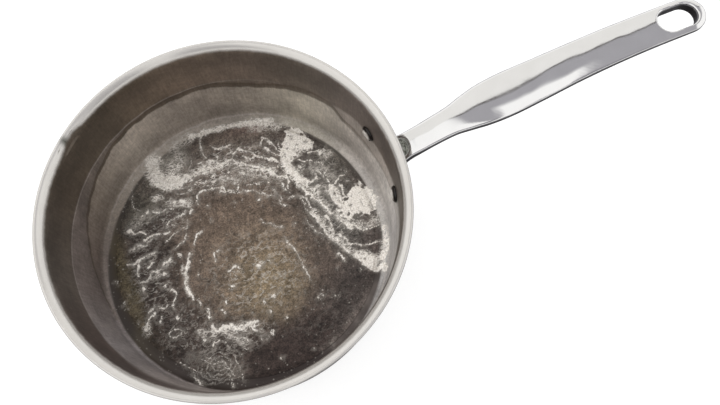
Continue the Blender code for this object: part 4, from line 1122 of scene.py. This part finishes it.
def paintDeposit(mesh, places, share, filmShare, drawn=None):
    # attributes the deposit shader reads; share is where scale may lie, filmShare where the film covers
    x, y = places[:, 0] * 1000, places[:, 1] * 1000
    past, haze = np.full(x.shape, farAway), np.zeros(x.shape)
    if drawn is None:
        near = (share > 0) | (filmShare > 0)
        past[near], haze[near] = drawScale(x[near], y[near])[:2]
    else:
        past[:len(drawn[0])], haze[:len(drawn[1])] = drawn[0], drawn[1]
    setNumbers(mesh, "scalePast", past * share + farAway * (1 - share))
    setNumbers(mesh, "scaleHaze", haze * share)
    web, ring, ringShare = np.zeros(x.shape), np.zeros(x.shape), np.zeros(x.shape)
    for cx, cy, rx, ry, strength in webs:
        web = np.maximum(web, strength * smoothStep(np.hypot((x - cx) / rx, (y - cy) / ry), 1.25, 0.45))
    for cx, cy, rx, ry, spacing, strength in swirls:
        out = np.hypot((x - cx) / rx, (y - cy) / ry)
        mask = strength * smoothStep(out, 1.1, 0.7)
        ring = np.where(mask > ringShare, out * min(rx, ry) / spacing, ring)
        ringShare = np.maximum(ringShare, mask)
    setNumbers(mesh, "scaleWeb", web * share)
    bubble = np.zeros(x.shape)
    for cx, cy, rx, ry, strength in bubbles:
        bubble = np.maximum(bubble, strength * smoothStep(np.hypot((x - cx) / rx, (y - cy) / ry), 1.2, 0.5))
    setNumbers(mesh, "scaleBubble", bubble * share)
    setNumbers(mesh, "scaleRing", ring)
    setNumbers(mesh, "scaleRingShare", ringShare * share)

    total = np.full(x.shape, 0.25)
    tone = np.array([linear(filmBase)]) * total[:, None]
    bendX = x + 4 * noiseField(x, y, 14.0, 51.0)
    bendY = y + 4 * noiseField(x, y, 14.0, 61.0)
    for cx, cy, rx, ry, colour, weight in filmTones:
        amount = weight * np.exp(-((bendX - cx) / rx) ** 2 - ((bendY - cy) / ry) ** 2)
        tone = tone + amount[:, None] * np.array([linear(colour)])
        total = total + amount
    tone = tone / total[:, None]
    for halfWidth, strength, line in smudges:
        amount = (strength * np.exp(-(lineDistance(bendX, bendY, line) / halfWidth) ** 2))[:, None]
        tone = tone * (1 - amount) + np.array([linear(crust["smudge"])]) * amount
    setColours(mesh, "filmTone", tone)
    setNumbers(mesh, "filmShare", filmShare)


def makeBurntCrust(material):
    bm = bmesh.new()
    bmesh.ops.create_grid(bm, x_segments=crust["cells"], y_segments=crust["cells"], size=1.0)
    for vert in bm.verts:   # squeeze the square into a disc
        u, v = vert.co.x, vert.co.y
        vert.co.x = crust["radius"] * u * math.sqrt(1 - v * v / 2)
        vert.co.y = crust["radius"] * v * math.sqrt(1 - u * u / 2)
    bottom = pan["base"] + handle["fit"]
    bm.verts.ensure_lookup_table()
    x = np.array([vert.co.x for vert in bm.verts]) * 1000
    y = np.array([vert.co.y for vert in bm.verts]) * 1000
    drawn = drawScale(x, y)
    grain = noiseField(x, y, 2.4, 4.0) + 0.6 * noiseField(x, y, 1.1, 14.0)
    fromEdge = crust["radius"] * 1000 - np.hypot(x, y)
    full = smoothStep(fromEdge, 0.0, 2.5)
    high = crust["filmEdge"] + full * (crust["film"] - crust["filmEdge"] + crust["grain"] * grain + drawn[2])
    for k, vert in enumerate(bm.verts):
        vert.co.z = bottom + high[k]
    rim = [edge for edge in bm.edges if edge.is_boundary]
    skirt = bmesh.ops.extrude_edge_only(bm, edges=rim)["geom"]
    for item in skirt:
        if isinstance(item, bmesh.types.BMVert):
            item.co.z = bottom
    bmesh.ops.contextual_create(bm, geom=[item for item in skirt if isinstance(item, bmesh.types.BMEdge)
                                          and item.is_boundary])
    piece = finishPiece("burntCrust", bm, material, "burnt_crust", 60)
    places = vertexPlaces(piece.data)
    everywhere = np.ones(len(places))
    paintDeposit(piece.data, places, everywhere, everywhere, drawn)
    return piece


def addDeposit(tree, place, film):
    # lime scale laid over the film's colour; gives the colour, the scale's share and the grit
    painted = {name: addNode(tree, "Attribute", {"attribute_name": name}).outputs["Fac"] for name in (
        "scalePast", "scaleHaze", "scaleWeb", "scaleBubble", "scaleRing", "scaleRingShare", "filmShare")}
    lace, drift, grit = [addNode(tree, "TexNoise", None, {
        "Vector": place, "Scale": perMetre(crust[name]), "Detail": detail,
        "Roughness": roughness}).outputs[0]
        for name, detail, roughness in (("lace", 6.0, 0.72), ("drift", 4.0, 0.6), ("grit", 4.0, 0.7))]
    laceOff = addNode(tree, "Math", {"operation": "SUBTRACT"}, {0: lace, 1: 0.5}).outputs[0]
    driftOff = addNode(tree, "Math", {"operation": "SUBTRACT"}, {0: drift, 1: 0.5}).outputs[0]
    laced = addNode(tree, "Math", multiplyAdd, {0: laceOff, 1: 4.6, 2: painted["scalePast"]}).outputs[0]
    drifted = addNode(tree, "Math", multiplyAdd, {0: driftOff, 1: 7.0, 2: laced}).outputs[0]
    core = addNode(tree, "MapRange", smooth, {
        "Value": laced, "From Min": -0.6, "From Max": 0.25, "To Min": 1.0, "To Max": 0.0}).outputs[0]
    worn = addNode(tree, "MapRange", smooth, {
        "Value": drift, "From Min": 0.34, "From Max": 0.48, "To Min": 0.5, "To Max": 1.0}).outputs[0]
    core = addNode(tree, "Math", multiply, {0: core, 1: worn}).outputs[0]
    halo = addNode(tree, "MapRange", smooth, {
        "Value": drifted, "From Min": -0.5, "From Max": 2.0, "To Min": 0.25, "To Max": 0.0}).outputs[0]

    # Haze thins and breaks where it is half covering, not where it is thick
    haze = painted["scaleHaze"]
    thinness = addNode(tree, "Math", multiplyAdd, {0: haze, 1: -0.8, 2: 1.0}).outputs[0]
    thinness = addNode(tree, "Math", multiply, {0: haze, 1: thinness}).outputs[0]
    uneven = addNode(tree, "Math", multiply, {0: laceOff, 1: 3.6}).outputs[0]
    uneven = addNode(tree, "Math", multiplyAdd, {0: driftOff, 1: 4.2, 2: uneven}).outputs[0]
    haze = addNode(tree, "Math", multiplyAdd, {0: uneven, 1: thinness, 2: haze}).outputs[0]

    # Flecks lie the way the veins run, and webs of stretched cells join them
    flow = addNode(tree, "Mapping", None, {
        "Vector": place, "Rotation": (0, 0, math.radians(-18)), "Scale": (0.45, 1.0, 1.0)}).outputs[0]
    fleck = addNode(tree, "TexNoise", None, {
        "Vector": flow, "Scale": perMetre(crust["fleck"]), "Detail": 5.0, "Roughness": 0.7,
        "Distortion": 0.6}).outputs[0]
    fleck = addNode(tree, "Math", multiplyAdd, {0: driftOff, 1: 0.5, 2: fleck}).outputs[0]
    fleck = addNode(tree, "MapRange", smooth, {
        "Value": fleck, "From Min": 0.55, "From Max": 0.66, "To Min": 0.0, "To Max": 0.9}).outputs[0]
    bend = addNode(tree, "TexNoise", None, {
        "Vector": place, "Scale": perMetre(5), "Detail": 3.0, "Roughness": 0.6}).outputs["Color"]
    bend = addNode(tree, "VectorMath", {"operation": "SUBTRACT"}, {0: bend, 1: (0.5, 0.5, 0.5)}).outputs[0]
    bend = addNode(tree, "VectorMath", {"operation": "SCALE"}, {0: bend, "Scale": 0.006}).outputs[0]
    bent = addNode(tree, "VectorMath", {"operation": "ADD"}, {0: flow, 1: bend}).outputs[0]
    cell = addNode(tree, "TexVoronoi", {"feature": "DISTANCE_TO_EDGE"}, {
        "Vector": bent, "Scale": perMetre(crust["cell"])}).outputs["Distance"]
    fine = addNode(tree, "TexVoronoi", {"feature": "DISTANCE_TO_EDGE"}, {
        "Vector": bent, "Scale": perMetre(crust["fineCell"])}).outputs["Distance"]
    fine = addNode(tree, "Math", multiplyAdd, {0: laceOff, 1: 0.3, 2: fine}).outputs[0]
    filament = addNode(tree, "MapRange", smooth, {
        "Value": fine, "From Min": 0.02, "From Max": 0.24, "To Min": 1.3, "To Max": 0.0}).outputs[0]
    filament = addNode(tree, "Math", multiply, {0: filament, 1: thinness}).outputs[0]
    haze = addNode(tree, "Math", multiplyAdd, {0: thinness, 1: -0.75, 2: haze}).outputs[0]
    haze = addNode(tree, "Math", multiplyAdd, {0: filament, 1: 1.6, 2: haze}).outputs[0]
    thread = addNode(tree, "MapRange", smooth, {
        "Value": cell, "From Min": 0.01, "From Max": 0.08, "To Min": 0.9, "To Max": 0.0}).outputs[0]
    patch = addNode(tree, "MapRange", smooth, {
        "Value": drift, "From Min": 0.4, "From Max": 0.56}).outputs[0]
    thread = addNode(tree, "Math", multiply, {0: thread, 1: patch}).outputs[0]
    web = addNode(tree, "Math", {"operation": "MAXIMUM"}, {0: thread, 1: fleck}).outputs[0]
    web = addNode(tree, "Math", multiply, {0: web, 1: painted["scaleWeb"]}).outputs[0]

    # Bubble rings, a little smaller than their cells
    hoop = addNode(tree, "TexVoronoi", None, {
        "Vector": bent, "Scale": perMetre(crust["bubble"])}).outputs["Distance"]
    hoop = addNode(tree, "Math", multiplyAdd, {0: laceOff, 1: 0.5, 2: hoop}).outputs[0]
    hoop = addNode(tree, "Math", {"operation": "SUBTRACT"}, {0: hoop, 1: 0.36}).outputs[0]
    hoop = addNode(tree, "Math", {"operation": "ABSOLUTE"}, {0: hoop}).outputs[0]
    hoop = addNode(tree, "MapRange", smooth, {
        "Value": hoop, "From Min": 0.02, "From Max": 0.12, "To Min": 1.0, "To Max": 0.0}).outputs[0]
    hoop = addNode(tree, "Math", multiply, {0: hoop, 1: painted["scaleBubble"]}).outputs[0]

    # Ovals dried one inside the other
    wave = addNode(tree, "Math", multiplyAdd, {0: driftOff, 1: 2.6, 2: painted["scaleRing"]}).outputs[0]
    wave = addNode(tree, "Math", multiply, {0: wave, 1: math.tau}).outputs[0]
    wave = addNode(tree, "Math", {"operation": "SINE"}, {0: wave}).outputs[0]
    wave = addNode(tree, "MapRange", smooth, {
        "Value": wave, "From Min": -0.2, "From Max": 0.9}).outputs[0]
    worn = addNode(tree, "MapRange", smooth, {
        "Value": lace, "From Min": 0.38, "From Max": 0.6, "To Min": 0.2, "To Max": 1.0}).outputs[0]
    ring = addNode(tree, "Math", multiply, {0: wave, 1: painted["scaleRingShare"]}).outputs[0]
    ring = addNode(tree, "Math", multiply, {0: ring, 1: worn}).outputs[0]

    # Specks scattered in patches
    dot = addNode(tree, "TexVoronoi", None, {
        "Vector": place, "Scale": perMetre(crust["speck"])}).outputs["Distance"]
    speck = addNode(tree, "MapRange", smooth, {
        "Value": dot, "From Min": 0.1, "From Max": 0.32, "To Min": 1.0, "To Max": 0.0}).outputs[0]
    strewn = addNode(tree, "MapRange", smooth, {
        "Value": drift, "From Min": 0.48, "From Max": 0.62, "To Min": 0.0, "To Max": 0.5}).outputs[0]
    speck = addNode(tree, "Math", multiply, {0: speck, 1: strewn}).outputs[0]
    speck = addNode(tree, "Math", multiply, {0: speck, 1: painted["filmShare"]}).outputs[0]

    share = core
    for layer in (halo, haze, web, hoop, ring, speck):
        share = addNode(tree, "Math", {"operation": "MAXIMUM"}, {0: share, 1: layer}).outputs[0]
    share = addNode(tree, "Math", {"operation": "MINIMUM", "use_clamp": True}, {0: share, 1: 1.0}).outputs[0]
    stops = [(at, linear(tone)) for at, tone in zip((0.32, 0.48, 0.62), crust["chalk"])]
    chalk = addNode(tree, "ValToRGB", {"stops": stops}, {0: grit}).outputs[0]
    thick = addNode(tree, "MapRange", smooth, {
        "Value": share, "From Min": 0.25, "From Max": 1.0}).outputs[0]
    chalk = addNode(tree, "Mix", blend, {0: thick, 6: linear(crust["thinScale"]), 7: chalk}).outputs[2]
    colour = addNode(tree, "Mix", blend, {0: share, 6: film, 7: chalk}).outputs[2]
    return colour, share, grit


def makeCrustMaterial():
    # Carbonised food film, matt and gritty, under dry lime scale that is chalk white and rough
    material, tree, shader = startMaterial("burntFilmWithLimeScale")
    place = addNode(tree, "TexCoord").outputs["Object"]
    tone = addNode(tree, "Attribute", {"attribute_name": "filmTone"}).outputs["Color"]
    gain = None
    for size, low, high in crust["filmPatterns"]:   # clouds, blotches and grains
        pattern = addNode(tree, "TexNoise", None, {
            "Vector": place, "Scale": perMetre(size), "Detail": 4.0, "Roughness": 0.62}).outputs[0]
        part = addNode(tree, "MapRange", None, {
            "Value": pattern, "From Min": 0.3, "From Max": 0.7, "To Min": low, "To Max": high}).outputs[0]
        gain = part if gain is None else addNode(tree, "Math", multiply, {0: gain, 1: part}).outputs[0]
    gain = addNode(tree, "Math", multiply, {0: gain, 1: crust["lift"]}).outputs[0]
    film = addNode(tree, "VectorMath", {"operation": "SCALE"}, {0: tone, "Scale": gain}).outputs[0]
    colour, share, grit = addDeposit(tree, place, film)
    tree.links.new(colour, shader.inputs["Base Color"])
    shader.inputs["Roughness"].default_value = crust["roughness"]
    shader.inputs["Specular IOR Level"].default_value = crust["specular"]
    bump = addNode(tree, "Bump", None, {
        "Strength": 0.6, "Distance": crust["gritDepth"], "Height": grit}).outputs[0]
    tree.links.new(bump, shader.inputs["Normal"])
    return material


# Studio: pale floor, even sky with a greyer ceiling, one soft lamp, the photograph's camera

studio = {
    "skyStrength": 1.05,
    "sky": "#ffffff",
    # what polished steel sees of the studio
    "paleSide": "#edecea",
    "ceiling": "#a6a5aa",
    "lowSide": "#7f7e84",
    "topLight": "#ffffff",
    "stripe": "#5a5757",
    "floorAlbedo": "#d8d8d8",
    "floorSeen": "#a0a0a0",   # what the camera sees of it, so the shadow stays faint
    "floorInMetal": "#7f7e82",   # what the steel reflects of it
    "floorGlow": 0.72,
    "floorSize": 6.0,
    "lampPower": 9.0,
    "lampPlace": (-0.35, 0.45, 1.1),
    "lampSize": 0.9,
    "stripeAt": 0.36,         # where the sky's pale side ends and its ceiling starts, as seen in metal
    "cameraPlace": (0.027147, -0.134688, 0.423717),
    "cameraTurn": (18.663, 0.647, -22.043),
    "lens": 34.62,
}


def makeFloor():
    mesh = bpy.data.meshes.new("studioFloor")
    bm = bmesh.new()
    bmesh.ops.create_grid(bm, x_segments=1, y_segments=1, size=studio["floorSize"])
    bm.to_mesh(mesh)
    bm.free()
    floor = bpy.data.objects.new("studioFloor", mesh)
    bpy.context.scene.collection.objects.link(floor)
    material, tree, shader = startMaterial("paleStudioFloor")
    ray = addNode(tree, "LightPath")
    colour = addNode(tree, "Mix", blend, {
        0: ray.outputs["Is Camera Ray"], 6: linear(studio["floorAlbedo"]),
        7: linear(studio["floorSeen"])}).outputs[2]
    colour = addNode(tree, "Mix", blend, {
        0: ray.outputs["Is Glossy Ray"], 6: colour, 7: linear(studio["floorInMetal"])}).outputs[2]
    tree.links.new(colour, shader.inputs["Base Color"])
    shader.inputs["Roughness"].default_value = 0.9
    shader.inputs["Specular IOR Level"].default_value = 0.0
    seen = addNode(tree, "Math", multiply, {
        0: ray.outputs["Is Camera Ray"], 1: studio["floorGlow"]}).outputs[0]
    shader.inputs["Emission Color"].default_value = (1, 1, 1, 1)
    tree.links.new(seen, shader.inputs["Emission Strength"])
    mesh.materials.append(material)


def makeSky():
    world = bpy.data.worlds.new("studioSky")
    bpy.context.scene.world = world
    world.use_nodes = True
    tree = world.node_tree
    tree.nodes.clear()
    direction = addNode(tree, "TexCoord").outputs["Generated"]
    ray = addNode(tree, "LightPath")
    parts = addNode(tree, "SeparateXYZ", None, {0: direction})
    along, side, height = parts.outputs
    line = studio["stripeAt"]
    offLine = addNode(tree, "Math", {"operation": "SUBTRACT"}, {0: side, 1: line}).outputs[0]
    offLine = addNode(tree, "Math", {"operation": "ABSOLUTE"}, {0: offLine}).outputs[0]

    # layers laid one over the other: masks that multiply, then the colour
    above = addNode(tree, "Math", {"operation": "MAXIMUM"}, {0: side, 1: 0.0}).outputs[0]
    below = addNode(tree, "Math", {"operation": "MINIMUM"}, {0: side, 1: 0.0}).outputs[0]
    right = addNode(tree, "Math", multiplyAdd, {0: above, 1: -0.5, 2: along}).outputs[0]
    left = addNode(tree, "Math", multiplyAdd, {0: below, 1: 0.4, 2: along}).outputs[0]
    ceiling = [(left, -0.48, -0.38), (right, 0.62, 0.54)]
    layers = [
        ([(side, line - 0.01, line + 0.01), (height, 0.3, 0.5)], "paleSide"),
        ([(side, line + 0.01, line - 0.01), (height, 0.5, 0.68)] + ceiling, "ceiling"),
        ([(side, -0.5, -0.72), (height, 0.2, 0.45)], "lowSide"),
        ([(along, -0.16, -0.04), (along, 0.2, 0.08), (side, 0.2, 0.06), (height, 0.2, 0.4)], "topLight"),
        ([(offLine, 0.017, 0.008), (height, 0.5, 0.6)] + ceiling, "stripe"),
    ]
    shown = linear(studio["sky"])
    for masks, colour in layers:
        amount = 1.0
        for value, low, high in masks:
            mask = addNode(tree, "MapRange", smooth, {
                "Value": value, "From Min": low, "From Max": high}).outputs[0]
            amount = addNode(tree, "Math", multiply, {0: amount, 1: mask}).outputs[0]
        shown = addNode(tree, "Mix", blend, {0: amount, 6: shown, 7: linear(studio[colour])}).outputs[2]
    glossy = addNode(tree, "Background", None, {"Color": shown, "Strength": 1.0}).outputs[0]
    diffuse = addNode(tree, "Background", None, {
        "Color": linear(studio["sky"]), "Strength": studio["skyStrength"]}).outputs[0]
    seen = addNode(tree, "Background", None, {"Color": linear(studio["sky"]), "Strength": 1.0}).outputs[0]
    lit = addNode(tree, "MixShader", None, {
        0: ray.outputs["Is Glossy Ray"], 1: diffuse, 2: glossy}).outputs[0]
    both = addNode(tree, "MixShader", None, {0: ray.outputs["Is Camera Ray"], 1: lit, 2: seen}).outputs[0]
    addNode(tree, "OutputWorld", None, {"Surface": both})


def makeLampAndCamera():
    lamp = bpy.data.lights.new("softLamp", "AREA")
    lamp.energy = studio["lampPower"]
    lamp.size = studio["lampSize"]
    holder = bpy.data.objects.new("softLamp", lamp)
    holder.location = studio["lampPlace"]
    holder.rotation_euler = (-Vector(studio["lampPlace"])).to_track_quat("-Z", "Y").to_euler()
    holder.visible_glossy = False
    bpy.context.scene.collection.objects.link(holder)
    camera = bpy.data.cameras.new("photoCamera")
    camera.lens = studio["lens"]
    camera.sensor_width = 36.0
    camera.clip_start = 0.01
    stand = bpy.data.objects.new("photoCamera", camera)
    stand.location = studio["cameraPlace"]
    stand.rotation_euler = Euler([math.radians(v) for v in studio["cameraTurn"]], "XYZ")
    bpy.context.scene.collection.objects.link(stand)
    bpy.context.scene.camera = stand


makeFloor()
makeSky()
makeLampAndCamera()
print("stage: studio ready")
makePanShell(makeStainedSteel())
print("stage: pan shell done")
makeHandleCasting(makePolishedSteel())
print("stage: handle done")
rivetSteel = makeRivetSteel()
makeRivet(1, rivetSteel)
makeRivet(-1, rivetSteel)
print("stage: rivets done")
makeBurntCrust(makeCrustMaterial())
print("stage: crust done")

bpy.context.scene.view_settings.view_transform = "Standard"
